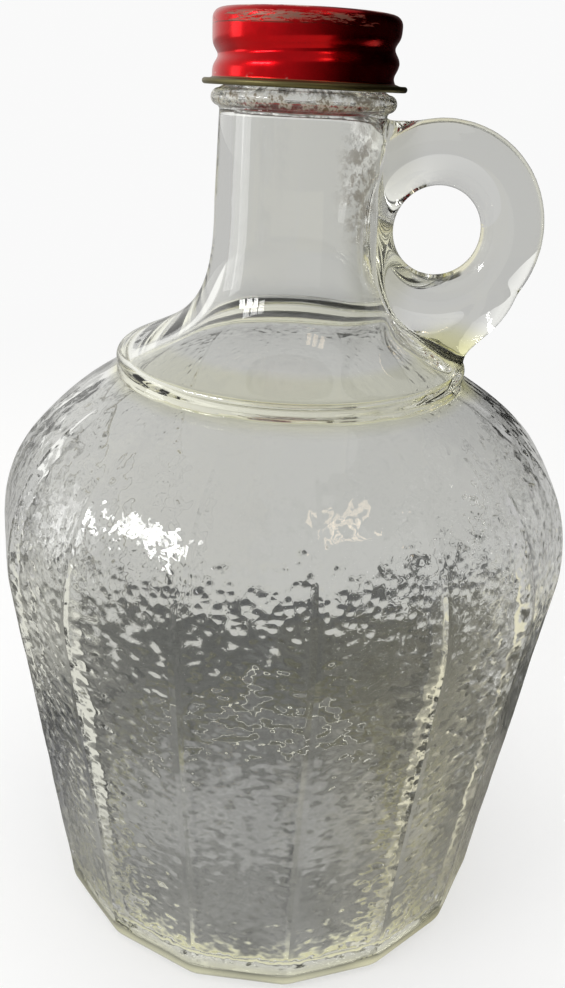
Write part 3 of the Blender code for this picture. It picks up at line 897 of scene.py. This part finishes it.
class JugGlassProperties(bpy.types.PropertyGroup):
    tint: bpy.props.FloatVectorProperty(
        name="Tint",
        description="Colour of light that has crossed one wall",
        subtype="COLOR",
        size=3,
        min=0.0,
        max=1.0,
        default=(0.965, 0.968, 0.96),
    )
    depth_color: bpy.props.FloatVectorProperty(
        name="Depth Colour",
        description="Colour of light that has crossed the thick glass of the heel or the handle's root",
        subtype="COLOR",
        size=3,
        min=0.0,
        max=1.0,
        default=(0.92, 0.90, 0.55),
    )
    bead_dirt: bpy.props.FloatProperty(
        name="Bead Dirt",
        description="How thickly old dirt covers the bead under the cap",
        min=0.0,
        max=1.0,
        default=0.75,
    )
    dirt_color: bpy.props.FloatVectorProperty(
        name="Dirt",
        description="Colour of the dirt on the bead",
        subtype="COLOR",
        size=3,
        default=(0.62, 0.60, 0.55),
    )
    stain_color: bpy.props.FloatVectorProperty(
        name="Stain",
        description="Colour of the stains in the dirt",
        subtype="COLOR",
        size=3,
        default=(0.16, 0.12, 0.07),
    )
    wall: bpy.props.FloatProperty(
        name="Wall",
        description="Thickness of the glass at a ridge of the body",
        unit="LENGTH",
        min=0.001,
        default=3.2 * MM,
    )
    panel_top: bpy.props.FloatProperty(
        name="Panel Top",
        description="Height at which the pebbled surface of the panels starts",
        unit="LENGTH",
        default=112.0 * MM,
    )
    pebble_size: bpy.props.FloatProperty(
        name="Pebble Size",
        description="Width of one pebble",
        unit="LENGTH",
        min=0.0001,
        default=2.3 * MM,
    )
    pebble_depth: bpy.props.FloatProperty(
        name="Pebble Depth",
        description="How far the pebbles stand out",
        unit="LENGTH",
        default=0.17 * MM,
    )
    wrinkle_size: bpy.props.FloatProperty(
        name="Wrinkle Size",
        description="Width of one wrinkle of the panels",
        unit="LENGTH",
        min=0.0001,
        default=2.7 * MM,
    )
    wrinkle_slope: bpy.props.FloatProperty(
        name="Wrinkle Slope",
        description="How steep the fine wrinkles of the panels are",
        min=0.0,
        default=0.78,
    )
    rib_slope: bpy.props.FloatProperty(
        name="Rib Slope",
        description="How steeply the glass rises to the rib between two panels",
        min=0.0,
        default=0.3,
    )
    panel_lean: bpy.props.FloatProperty(
        name="Panel Lean",
        description="How unevenly the panels face, one beside the other",
        default=0.2,
    )
    wave_depth: bpy.props.FloatProperty(
        name="Wave Depth",
        description="How far the walls wander in and out",
        unit="LENGTH",
        default=0.5 * MM,
    )


PEBBLE_WIDTH = 3.2 * MM
PEBBLE_HEIGHT = 0.16 * MM
OUTER_WAVE = 16.0 * MM
INNER_WAVE = 11.0 * MM


class JUG_OT_glass(bpy.types.Operator):
    """Make the jug of clear glass, hollow, with its handle and its thread"""

    bl_idname = "jug.glass"
    bl_label = "Glass Jug"

    def execute(self, context):
        properties = context.scene.jug_glass
        material = clear_glass(properties)
        tree = relief_tree(material)
        jug = lofted("clear_jug", outer_rows(), OUTER_COLUMNS)
        sizes = {
            "Pebble Size": PEBBLE_WIDTH,
            "Pebble Depth": PEBBLE_HEIGHT,
            "Wave Size": OUTER_WAVE,
            "Wave Depth": properties.wave_depth,
            "Panel Top": properties.panel_top,
        }
        use_tree(jug, tree, sizes)
        handle = blended_handle()
        thread = neck_thread(material)
        cavity = lofted("jug_cavity", cavity_rows(properties.wall), CAVITY_COLUMNS)
        swell_cavity(cavity)
        sizes["Pebble Depth"] = 0.0
        sizes["Wave Size"] = INNER_WAVE
        use_tree(cavity, tree, sizes)
        add_boolean(jug, handle, "UNION")
        add_boolean(jug, thread, "UNION")
        add_boolean(jug, cavity, "DIFFERENCE")
        plain_mesh(jug)
        for part in (handle, thread, cavity):
            remove(part)
        jug.data.materials.clear()
        jug.data.materials.append(material)
        jug.data.polygons.foreach_set("material_index", np.zeros(len(jug.data.polygons), np.int32))
        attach(jug, "root")
        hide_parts("glass_jug")
        return {"FINISHED"}


# ---------------------------------------------------------------- cap


def cap_rows():
    """The cap's section from the middle of its top, down outside, round the curl and up inside.

    Each row is (radius, height, share of the groove)."""
    round_centre = (CAP_RADIUS - CAP_TOP_ROUND, CAP_TOP - CAP_TOP_ROUND)
    skirt_top = CAP_TOP - CAP_TOP_ROUND - 0.3 * MM
    inner_radius = CAP_RADIUS - CAP_WALL
    inner_corner = (round_centre[0] - 0.3 * MM, round_centre[1] - CAP_WALL)
    inner_radii = (CAP_TOP_ROUND - 0.15 * MM, CAP_TOP_ROUND)
    curl_middle = (CURL_RADIUS - CURL_HALF_THICKNESS, CURL_HEIGHT)
    curl_radii = (CURL_HALF_THICKNESS, CURL_HALF_THICKNESS)
    rows = [(radius, CAP_TOP, 0.0) for radius in np.linspace(0.05, 0.98, 14) * round_centre[0]]
    rows += [(r, z, 0.0) for r, z in arc(round_centre, (CAP_TOP_ROUND, CAP_TOP_ROUND), 90, 0, 9)]
    outer = line((CAP_RADIUS, skirt_top), (CAP_RADIUS, CAP_SKIRT_FOOT), 0.22 * MM)
    rows += [(r, z, 1.0) for r, z in outer]
    shelf = (CURL_RADIUS - 1.4 * MM, CURL_HEIGHT + CURL_HALF_THICKNESS)
    rows.append((CAP_RADIUS + 0.12 * MM, CAP_SKIRT_FOOT - 0.25 * MM, 0.0))
    rows.append((shelf[0], shelf[1], 0.0))
    rows += [(r, z, 0.0) for r, z in arc(curl_middle, curl_radii, 80, -90, 12)]
    rows.append((inner_radius, CURL_HEIGHT - CURL_HALF_THICKNESS, 0.0))
    inner = line((inner_radius, CAP_SKIRT_FOOT), (inner_radius, skirt_top), 0.4 * MM)
    rows += [(r, z, 1.0) for r, z in inner]
    rows += [(r, z, 0.0) for r, z in arc(inner_corner, inner_radii, 0, 90, 5)]
    rows += [(r, CAP_TOP - CAP_WALL, 0.0) for r in np.linspace(0.9, 0.05, 5) * round_centre[0]]
    return rows


def groove_tree(material):
    """Rolls a helical thread groove into a plain skirt."""
    inputs = [
        ("Depth", "NodeSocketFloat"),
        ("Half Width", "NodeSocketFloat"),
        ("Pitch", "NodeSocketFloat"),
        ("Top Height", "NodeSocketFloat"),
        ("Start", "NodeSocketFloat"),
        ("Sweep", "NodeSocketFloat"),
        ("Fade", "NodeSocketFloat"),
    ]
    builder, given = new_geometry_tree("Rolled Groove", inputs)
    position = builder.add("GeometryNodeInputPosition")
    x, y, height = builder.separate(position)
    share = builder.add("GeometryNodeInputNamedAttribute", {"data_type": "FLOAT"}, {"Name": "skirt"})
    angle = builder.add("ShaderNodeMath", {"operation": "ARCTAN2"}, {0: y, 1: x})
    turned = builder.add(
        "ShaderNodeMath", {"operation": "FLOORED_MODULO"}, {0: given["Start"] - angle, 1: math.tau}
    )
    groove = None
    for turn in range(2):
        along = turned + turn * math.tau
        middle = given["Top Height"] - given["Pitch"] * along / math.tau
        fade = builder.smallest(along, given["Sweep"] - along) / given["Fade"]
        fade = builder.smallest(builder.largest(fade, 0.0), 1.0)
        offset = (height - middle) / given["Half Width"]
        dip = fade * builder.add("ShaderNodeMath", {"operation": "EXPONENT"}, {0: -(offset * offset)})
        groove = dip if groove is None else builder.largest(groove, dip)
    push = -(groove * share * given["Depth"])
    out = builder.add("ShaderNodeVectorMath", {"operation": "NORMALIZE"}, {0: builder.combine(x, y, 0.0)})
    offset = builder.add("ShaderNodeVectorMath", {"operation": "SCALE"}, {0: out, "Scale": push})
    moved = builder.add(
        "GeometryNodeSetPosition", None, {"Geometry": given["Geometry"], "Offset": offset}
    )
    finish_tree(builder, moved, material)
    return builder.tree


# Wear of the lacquer. Each pair is where a smooth step starts and ends.
BLOTCH_SIZE = 3.0 * MM
PATCH_SIZE = 9.0 * MM
SCRATCH_SIZE = 4.0 * MM
SCRATCH_FLATNESS = 7.0
SCRATCH_BAND = (1.3 * MM, 0.5 * MM)
SCRATCH_EDGE = (0.86, 0.94)
WORN_SIDE_AZIMUTH = -15.0
WORN_SIDE_REACH = (4.0 * MM, 17.0 * MM)
LINE_BAND = (0.14 * MM, 0.06 * MM)
LINE_WANDER = 0.35 * MM
LINE_EDGE = (0.42, 0.5)
RIM_HEIGHT = (CAP_TOP - 0.22 * MM, CAP_TOP - 0.05 * MM)
RIM_HEIGHT_WANDER = 0.8 * MM
RIM_INNER = (CAP_RADIUS - 3.4 * MM, CAP_RADIUS - 2.6 * MM)
RIM_INNER_WANDER = 3.0 * MM
RIM_PATCHES = (0.32, 0.5)
FOOT_HEIGHT = CAP_SKIRT_FOOT + 0.3 * MM
FOOT_BAND = (0.5 * MM, 0.2 * MM)
CHIP_EDGE = (0.6, 0.66)
CURL_BARE = (CAP_SKIRT_FOOT + 0.05 * MM, CAP_SKIRT_FOOT - 0.25 * MM)
SCRATCH_COLOR = (0.17, 0.12, 0.09)
LINE_COLOR = (0.06, 0.03, 0.02)
RIM_COLOR = (0.62, 0.56, 0.48)
BLOTCH_RELIEF = 0.012 * MM
SCRATCH_RELIEF = 0.03 * MM


def lacquered_metal(properties):
    """Glossy red lacquer on tinplate: scratched near the top, chipped at its foot, the curl left bare."""
    material, builder, output = new_material("red_lacquer")
    coordinates = builder.object_coordinates()
    x, y, height = builder.separate(coordinates)
    radius = (x * x + y * y) ** 0.5
    blotches = builder.noise(coordinates, 1.0 / BLOTCH_SIZE, 5.0, 0.65)
    patches = builder.noise(coordinates, 1.0 / PATCH_SIZE, 1.0)
    along = builder.scaled(coordinates, (1.0, 1.0, SCRATCH_FLATNESS))
    scratches = builder.noise(along, 1.0 / SCRATCH_SIZE, 5.0, 0.75)

    band = builder.smooth_step(builder.absolute(height - properties.scratch_height), *SCRATCH_BAND)
    worn_side = builder.dot(coordinates, tuple(direction(WORN_SIDE_AZIMUTH)))
    worn_side = builder.smooth_step(worn_side, *WORN_SIDE_REACH)
    scratched = builder.smooth_step(scratches + 0.3 * patches + 0.26 * worn_side, *SCRATCH_EDGE) * band
    line_height = height + (patches - 0.5) * LINE_WANDER
    line = builder.smooth_step(builder.absolute(line_height - properties.line_height), *LINE_BAND)
    line = line * builder.smooth_step(scratches, *LINE_EDGE)
    rim = builder.smooth_step(height + (blotches - 0.5) * RIM_HEIGHT_WANDER, *RIM_HEIGHT)
    rim = rim * builder.smooth_step(radius + (blotches - 0.5) * RIM_INNER_WANDER, *RIM_INNER)
    rim = rim * builder.smooth_step(patches, *RIM_PATCHES)
    foot = builder.smooth_step(builder.absolute(height - FOOT_HEIGHT), *FOOT_BAND)
    chips = builder.smooth_step(blotches, *CHIP_EDGE) * foot
    bare = builder.smooth_step(height, *CURL_BARE)
    worn = builder.largest(builder.largest(scratched, bare), rim)

    red = builder.mix_color(blotches, properties.lacquer_color, properties.lacquer_light)
    color = builder.mix_color(scratched * 0.85, red, SCRATCH_COLOR)
    color = builder.mix_color(line * 0.8, color, LINE_COLOR)
    color = builder.mix_color(builder.largest(rim, chips) * 0.8, color, RIM_COLOR)
    color = builder.mix_color(bare, color, properties.bare_color)
    relief = blotches * BLOTCH_RELIEF - scratched * SCRATCH_RELIEF
    bump = builder.add("ShaderNodeBump", None, {"Strength": 0.6, "Distance": 1.0, "Height": relief})
    shader = builder.add(
        "ShaderNodeBsdfPrincipled",
        None,
        {
            "Base Color": color,
            "Metallic": 1.0 - 0.5 * builder.largest(scratched, rim),
            "Roughness": 0.2 + 0.16 * blotches * blotches + 0.2 * worn,
            "Coat Weight": 0.12 * (1 - worn),
            "Coat Roughness": 0.1,
            "Normal": bump,
        },
    )
    builder.tree.links.new(shader.socket, output.inputs["Surface"])
    return material


class JugCapProperties(bpy.types.PropertyGroup):
    groove_depth: bpy.props.FloatProperty(
        name="Groove Depth",
        description="How deep the thread groove is rolled into the skirt",
        unit="LENGTH",
        default=1.1 * MM,
    )
    groove_pitch: bpy.props.FloatProperty(
        name="Groove Pitch",
        description="How far the thread groove drops in one turn",
        unit="LENGTH",
        default=5.3 * MM,
    )
    lacquer_color: bpy.props.FloatVectorProperty(
        name="Lacquer",
        description="Colour of the lacquer",
        subtype="COLOR",
        size=3,
        default=(0.38, 0.002, 0.004),
    )
    lacquer_light: bpy.props.FloatVectorProperty(
        name="Light Lacquer",
        description="Colour of the lacquer where it is thin",
        subtype="COLOR",
        size=3,
        default=(0.60, 0.003, 0.007),
    )
    bare_color: bpy.props.FloatVectorProperty(
        name="Bare Metal",
        description="Colour of the metal at the curled rim",
        subtype="COLOR",
        size=3,
        default=(0.14, 0.12, 0.055),
    )
    scratch_height: bpy.props.FloatProperty(
        name="Scratch Height",
        description="Height at which the lacquer is scratched most",
        unit="LENGTH",
        default=207.0 * MM,
    )
    line_height: bpy.props.FloatProperty(
        name="Line Height",
        description="Height of the thin worn line round the cap",
        unit="LENGTH",
        default=206.0 * MM,
    )


class JUG_OT_cap(bpy.types.Operator):
    """Make the screw cap: a pressed shell with a rolled groove and a curled rim"""

    bl_idname = "jug.cap"
    bl_label = "Screw Cap"

    def execute(self, context):
        properties = context.scene.jug_cap
        rows = cap_rows()
        rings = circular([(radius, height) for radius, height, share in rows])
        cap = lofted("lacquered_cap", rings, CAP_COLUMNS)
        share = np.repeat([row[2] for row in rows], CAP_COLUMNS)
        attribute = cap.data.attributes.new("skirt", "FLOAT", "POINT")
        attribute.data.foreach_set("value", np.concatenate([share, [0.0, 0.0]]).astype(np.float32))
        sizes = {
            "Depth": properties.groove_depth,
            "Half Width": GROOVE_HALF_WIDTH,
            "Pitch": properties.groove_pitch,
            "Top Height": GROOVE_TOP_HEIGHT,
            "Start": GROOVE_START,
            "Sweep": GROOVE_SWEEP,
            "Fade": GROOVE_FADE,
        }
        use_tree(cap, groove_tree(lacquered_metal(properties)), sizes)
        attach(cap, "root")
        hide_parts("screw_cap")
        return {"FINISHED"}


# ---------------------------------------------------------------- studio


# What the glass shows of the floor: a painted shade under and behind the jug, with painted light round it.
# Each pair is where a smooth step starts and ends, as a distance from the jug's axis, behind it or to its
# right.
UNDER_JUG = (52.0 * MM, 45.0 * MM)
SHADE_BACK = (5.0 * MM, -5.0 * MM)
SHADE_FRONT = (-24.0 * MM, -8.0 * MM)
SHADE_MIDDLE = 20.0 * MM
SHADE_SIDE = (1.1, 0.9)
SHADE_SLANT = 0.28
STREAK_SIZE = 11.0 * MM
STREAK_DEPTH = 0.9
PATCH_MIDDLE = -3.0 * MM
PATCH_REACH = (26.0 * MM, 6.0 * MM)
PATCH_LIGHT = 0.62
FRONT_REACH = (20.0 * MM, -20.0 * MM)
FRONT_LIGHT = 0.30
RIGHT_END = (62.0 * MM, 92.0 * MM)
RIGHT_END_BACK = (42.0 * MM, 12.0 * MM)
NEAR_FLOOR = (140.0 * MM, 60.0 * MM)
RING_REACH = (100.0 * MM, 60.0 * MM)
RING_BACK = (0.0, -20.0 * MM)
RING_SIDE = (26.0 * MM, 48.0 * MM)
RING_DIMMING = (0.45, 0.45, 0.45)
WARM_SIDE = (5.0 * MM, 60.0 * MM)
WARMTH = (1.04, 1.0, 0.85)

# What the camera sees of the floor: its own glow, and further in a part that takes shadows.
GLOW_REACH = (0.7, 0.25)
GLOW_SHARE = 0.62
SHADOWED_SHARE = 0.35


def floor_seen_through(builder, properties, coordinates, reach):
    """The floor as the glass shows it: a painted shade under and behind the jug with a straight far edge,
    lighter painted patches and streaks in it, and painted light round it.
    """
    behind = builder.dot(coordinates, tuple(direction(180.0)))
    right = builder.dot(coordinates, tuple(direction(90.0)))
    edge = behind - SHADE_SLANT * builder.largest(right, 0.0) - properties.shade_edge
    disc = builder.smooth_step(reach, *UNDER_JUG)
    band = builder.smooth_step(edge, *SHADE_BACK) * builder.smooth_step(behind, *SHADE_FRONT)
    outer, inner = [share * properties.shade_reach for share in SHADE_SIDE]
    band = band * builder.smooth_step(builder.absolute(right - SHADE_MIDDLE), outer, inner)

    # Painted light in the painted shade: streaks, and lighter patches right under the jug, in front and at
    # the right end.
    place = builder.combine(right, behind * 0.6, 0.0)
    streaks = builder.noise(place, 1.0 / STREAK_SIZE, 2.0, 0.5, "2D") - 0.5
    patch = builder.smooth_step(builder.absolute(behind - PATCH_MIDDLE), *PATCH_REACH) * PATCH_LIGHT
    front = builder.smooth_step(behind, *FRONT_REACH) * FRONT_LIGHT
    right_end = builder.smooth_step(right, *RIGHT_END) * builder.smooth_step(behind, *RIGHT_END_BACK)
    light = builder.largest(builder.largest(patch, front), right_end) + STREAK_DEPTH * streaks
    shade = builder.mix_color(light, properties.shade_tone, properties.patch_tone)

    # Painted light: the floor beside and in front of the jug is brighter and creamier than the far floor.
    near = builder.smooth_step(behind, *NEAR_FLOOR)
    bright = builder.mix_color(near, properties.through_tone, properties.near_tone)
    # Painted shade: the floor in front of the jug and off to each side is dimmed in a ring.
    ring = builder.smooth_step(reach, *RING_REACH) * builder.smooth_step(behind, *RING_BACK)
    ring = ring * builder.smooth_step(builder.absolute(right), *RING_SIDE)
    bright = builder.mix_color(ring, bright, builder.scaled(bright, RING_DIMMING))
    tone = builder.mix_color(builder.largest(disc, band), bright, shade)
    # Painted warm light on the floor to the right of the jug.
    warm = builder.smooth_step(right, *WARM_SIDE) * near
    return builder.mix_color(warm, tone, builder.scaled(tone, WARMTH))


def floor_material(properties):
    """A pale floor to the camera, with a painted tone of its own, shade and light, for what the glass shows
    of it.
    """
    material, builder, output = new_material("pale_floor")
    coordinates = builder.object_coordinates()
    reach = builder.vector_math("LENGTH", coordinates, None, "Value")
    tone = floor_seen_through(builder, properties, coordinates, reach)
    close = builder.smooth_step(reach, *GLOW_REACH)
    dimmed = [GLOW_SHARE * part for part in properties.backdrop]
    glow = builder.mix_color(close, properties.backdrop, dimmed)
    lit = [SHADOWED_SHARE * part for part in properties.backdrop]
    seen = builder.add("ShaderNodeEmission", None, {"Color": glow})
    shadowed = builder.add(
        "ShaderNodeBsdfDiffuse", None, {"Color": builder.mix_color(close, (0.0, 0.0, 0.0), lit)}
    )
    seen = builder.add("ShaderNodeAddShader", None, {0: seen, 1: shadowed})
    through = builder.add("ShaderNodeEmission", None, {"Color": tone})
    camera_ray = builder.output(builder.add("ShaderNodeLightPath"), "Is Camera Ray")
    mixed = builder.add("ShaderNodeMixShader", None, {0: camera_ray, 1: through, 2: seen})
    builder.tree.links.new(mixed.socket, output.inputs["Surface"])
    return material


def direction(azimuth_degrees, elevation_degrees=0.0):
    """A unit vector. Azimuth 0 points from the jug to the camera, and positive turns to its right."""
    angle = CAMERA_ANGLE + math.radians(azimuth_degrees)
    rise = math.radians(elevation_degrees)
    return Vector((math.cos(angle) * math.cos(rise), math.sin(angle) * math.cos(rise), math.sin(rise)))


FLOOR_RADIUS = 8.0

# The card: the azimuths it spans, and its section as (reach, height) by the window and round the right.
CARD_AZIMUTHS = range(-41, 177, 7)
CARD_TURN = 35
CARD_SECTION_LEFT = ((0.09, 0.175), (0.09, 0.18), (0.09, 0.25))
CARD_SECTION_RIGHT = ((0.07, 0.12), (0.09, 0.14), (0.09, 0.34))
CARD_REFLECTION_FADE = (0.075, -0.07)


def add_floor(properties):
    bpy.ops.mesh.primitive_circle_add(vertices=96, radius=FLOOR_RADIUS, fill_type="NGON")
    floor = bpy.context.object
    floor.name = "floor"
    floor.data.materials.append(floor_material(properties))
    return floor


def add_flag(properties):
    """A card round the right of the cap that only reflections show: a painted dark reflection, black to the
    right and glowing with the surroundings' light to the left.
    """
    vertices = []
    for azimuth in CARD_AZIMUTHS:
        out = direction(azimuth)
        section = CARD_SECTION_RIGHT if azimuth > CARD_TURN else CARD_SECTION_LEFT
        vertices += [(out.x * reach, out.y * reach, height) for reach, height in section]
    steps = range(len(CARD_AZIMUTHS) - 1)
    faces = [(3 * i + j, 3 * i + j + 1, 3 * i + j + 4, 3 * i + j + 3) for i in steps for j in (0, 1)]
    flag = new_object("dark_card", vertices, faces)
    material, builder, output = new_material("dark_card")
    coordinates = builder.object_coordinates()
    right = builder.dot(coordinates, tuple(direction(90.0)))
    # Painted reflection: the card glows like the surroundings on its left and fades to black on its right.
    glow = builder.smooth_step(right, *CARD_REFLECTION_FADE)
    tone = builder.mix_color(glow, (0.0, 0.0, 0.0), properties.world_light)
    shader = builder.add("ShaderNodeEmission", None, {"Color": tone})
    builder.tree.links.new(shader.socket, output.inputs["Surface"])
    flag.data.materials.append(material)
    flag.visible_camera = False
    flag.visible_diffuse = False
    flag.visible_transmission = False
    flag.visible_shadow = False


LIGHT_TARGET = Vector((0.0, 0.0, 150.0 * MM))


def add_softbox(name, azimuth, elevation, distance, size, radiance, color=(1.0, 1.0, 1.0)):
    """An area light that faces the jug, of a stated radiance."""
    light = bpy.data.lights.new(name, "AREA")
    light.shape = "RECTANGLE"
    light.size, light.size_y = size
    light.energy = radiance * math.pi * size[0] * size[1]
    light.color = color
    made = bpy.data.objects.new(name, light)
    made.location = LIGHT_TARGET + direction(azimuth, elevation) * distance
    made.rotation_euler = (LIGHT_TARGET - made.location).to_track_quat("-Z", "Y").to_euler()
    bpy.context.scene.collection.objects.link(made)
    return made


def add_world(properties):
    """Soft light from all round, brightest behind on the left. The camera sees the plain backdrop."""
    world = bpy.data.worlds.new("studio")
    world.use_nodes = True
    world.node_tree.nodes.clear()
    builder = Builder(world.node_tree)
    output = world.node_tree.nodes.new("ShaderNodeOutputWorld")
    vector = builder.output(builder.add("ShaderNodeTexCoord"), "Generated")
    left = builder.smooth_step(builder.dot(vector, tuple(direction(-120.0))), 0.2, 1.0)
    tone = builder.mix_color(left * 0.6, properties.world_light, properties.world_bright)
    light = builder.add("ShaderNodeBackground", None, {"Color": tone, "Strength": 1.0})
    plain = builder.add("ShaderNodeBackground", None, {"Color": (*properties.backdrop, 1.0)})
    camera_ray = builder.output(builder.add("ShaderNodeLightPath"), "Is Camera Ray")
    mixed = builder.add("ShaderNodeMixShader", None, {0: camera_ray, 1: light, 2: plain})
    world.node_tree.links.new(mixed.socket, output.inputs["Surface"])
    world.cycles.sampling_method = "NONE"
    bpy.context.scene.world = world


def add_camera():
    """The camera, level with the cap and tipped down towards the base."""
    outward = direction(0.0)
    place = outward * CAMERA_REACH + Vector((0.0, 0.0, CAMERA_HEIGHT))
    level = Matrix.Rotation(CAMERA_YAW, 3, "Z") @ -outward
    forward = level * math.cos(CAMERA_PITCH) - Vector((0, 0, 1)) * math.sin(CAMERA_PITCH)
    right = forward.cross(Vector((0, 0, 1))).normalized()
    up = right.cross(forward)
    rolled_right = right * math.cos(CAMERA_ROLL) + up * math.sin(CAMERA_ROLL)
    rolled_up = up * math.cos(CAMERA_ROLL) - right * math.sin(CAMERA_ROLL)
    matrix = Matrix((rolled_right, rolled_up, -forward)).transposed().to_4x4()
    matrix.translation = place
    data = bpy.data.cameras.new("camera")
    data.sensor_width = SENSOR
    data.lens = SENSOR * FOCAL_PIXELS / max(IMAGE_SIZE)
    data.clip_start = 0.01
    camera = bpy.data.objects.new("camera", data)
    camera.matrix_world = matrix
    bpy.context.scene.collection.objects.link(camera)
    bpy.context.scene.camera = camera


class JugStudioProperties(bpy.types.PropertyGroup):
    through_tone: bpy.props.FloatVectorProperty(
        name="Tone Behind",
        description="Light that the far floor sends into the glass",
        subtype="COLOR",
        size=3,
        default=(0.54, 0.54, 0.525),
    )
    shade_tone: bpy.props.FloatVectorProperty(
        name="Shade",
        description="Light that the floor under and near the jug sends into the glass",
        subtype="COLOR",
        size=3,
        default=(0.052, 0.054, 0.055),
    )
    patch_tone: bpy.props.FloatVectorProperty(
        name="Patch",
        description="Lighter part of the shade, right under the jug",
        subtype="COLOR",
        size=3,
        default=(0.34, 0.34, 0.34),
    )
    near_tone: bpy.props.FloatVectorProperty(
        name="Near Floor",
        description="Light that the bright floor beside and in front of the jug sends into the glass",
        subtype="COLOR",
        size=3,
        default=(0.75, 0.745, 0.66),
    )
    shade_edge: bpy.props.FloatProperty(
        name="Shade Edge",
        description="How far behind the jug's axis the shade ends",
        unit="LENGTH",
        default=112.0 * MM,
    )
    shade_reach: bpy.props.FloatProperty(
        name="Shade Reach",
        description="How far the shade spreads to each side",
        unit="LENGTH",
        default=135.0 * MM,
    )
    world_light: bpy.props.FloatVectorProperty(
        name="Surroundings",
        description="Light from all round the studio",
        subtype="COLOR",
        size=3,
        default=(0.58, 0.58, 0.57),
    )
    world_bright: bpy.props.FloatVectorProperty(
        name="Bright Side",
        description="Light from the bright side of the studio",
        subtype="COLOR",
        size=3,
        default=(1.3, 1.3, 1.25),
    )
    backdrop: bpy.props.FloatVectorProperty(
        name="Backdrop",
        description="Colour behind everything",
        subtype="COLOR",
        size=3,
        default=(0.95, 0.95, 0.95),
    )


LIGHT_DISTANCE = 0.9
WINDOW_AZIMUTHS = (-67.0, -57.0, -47.0)
LAMP_AZIMUTHS = (26.0, 35.0, 44.0)
LAMP_COLOR = (1.0, 0.80, 0.55)

# Light crosses many glass surfaces here; with fewer bounces, dark spots and outlines come up in the jug.
ALL_BOUNCES = 20
GLASS_BOUNCES = 16


class JUG_OT_studio(bpy.types.Operator):
    """Make the floor, the lights and the camera"""

    bl_idname = "jug.studio"
    bl_label = "Studio"

    def execute(self, context):
        properties = context.scene.jug_studio
        add_floor(properties)
        add_world(properties)
        add_flag(properties)
        add_softbox("curtain_left", -92.0, -3.0, LIGHT_DISTANCE, (0.26, 0.5), 2.2)
        for pane, azimuth in enumerate(WINDOW_AZIMUTHS):
            add_softbox(f"window_pane_{pane}", azimuth, 26.0, LIGHT_DISTANCE, (0.11, 0.13), 20.0)
        for lamp, azimuth in enumerate(LAMP_AZIMUTHS):
            add_softbox(f"lamp_{lamp}", azimuth, 50.0, LIGHT_DISTANCE, (0.06, 0.16), 5.0, LAMP_COLOR)
        overhead = add_softbox("overhead", 0.0, 88.0, 1.6, (1.2, 1.2), 3.0)
        overhead.visible_glossy = False
        overhead.visible_transmission = False
        add_camera()
        context.scene.view_settings.view_transform = "Standard"
        context.scene.cycles.max_bounces = ALL_BOUNCES
        context.scene.cycles.transmission_bounces = GLASS_BOUNCES
        context.scene.cycles.glossy_bounces = GLASS_BOUNCES
        return {"FINISHED"}


# ---------------------------------------------------------------- panel


class JUG_PT_panel(bpy.types.Panel):
    """Lists the pieces of the jug and their sizes and colours."""

    bl_idname = "JUG_PT_panel"
    bl_label = "Handled Glass Jug"
    bl_space_type = "VIEW_3D"
    bl_region_type = "UI"
    bl_category = "Jug"

    def draw(self, context):
        for group, operator in PIECES:
            box = self.layout.box()
            properties = getattr(context.scene, group)
            for name in properties.__annotations__:
                box.prop(properties, name)
            box.operator(operator)


PIECES = (("jug_glass", "jug.glass"), ("jug_cap", "jug.cap"), ("jug_studio", "jug.studio"))
GROUPS = {
    "jug_glass": JugGlassProperties,
    "jug_cap": JugCapProperties,
    "jug_studio": JugStudioProperties,
}
CLASSES = (*GROUPS.values(), JUG_OT_glass, JUG_OT_cap, JUG_OT_studio, JUG_PT_panel)


def register():
    for item in CLASSES:
        bpy.utils.register_class(item)
    for name, group in GROUPS.items():
        setattr(bpy.types.Scene, name, bpy.props.PointerProperty(type=group))


def unregister():
    for name in GROUPS:
        delattr(bpy.types.Scene, name)
    for item in reversed(CLASSES):
        bpy.utils.unregister_class(item)


def main():
    register()
    bpy.ops.jug.glass()
    bpy.ops.jug.cap()
    bpy.ops.jug.studio()


if __name__ == "__main__":
    main()
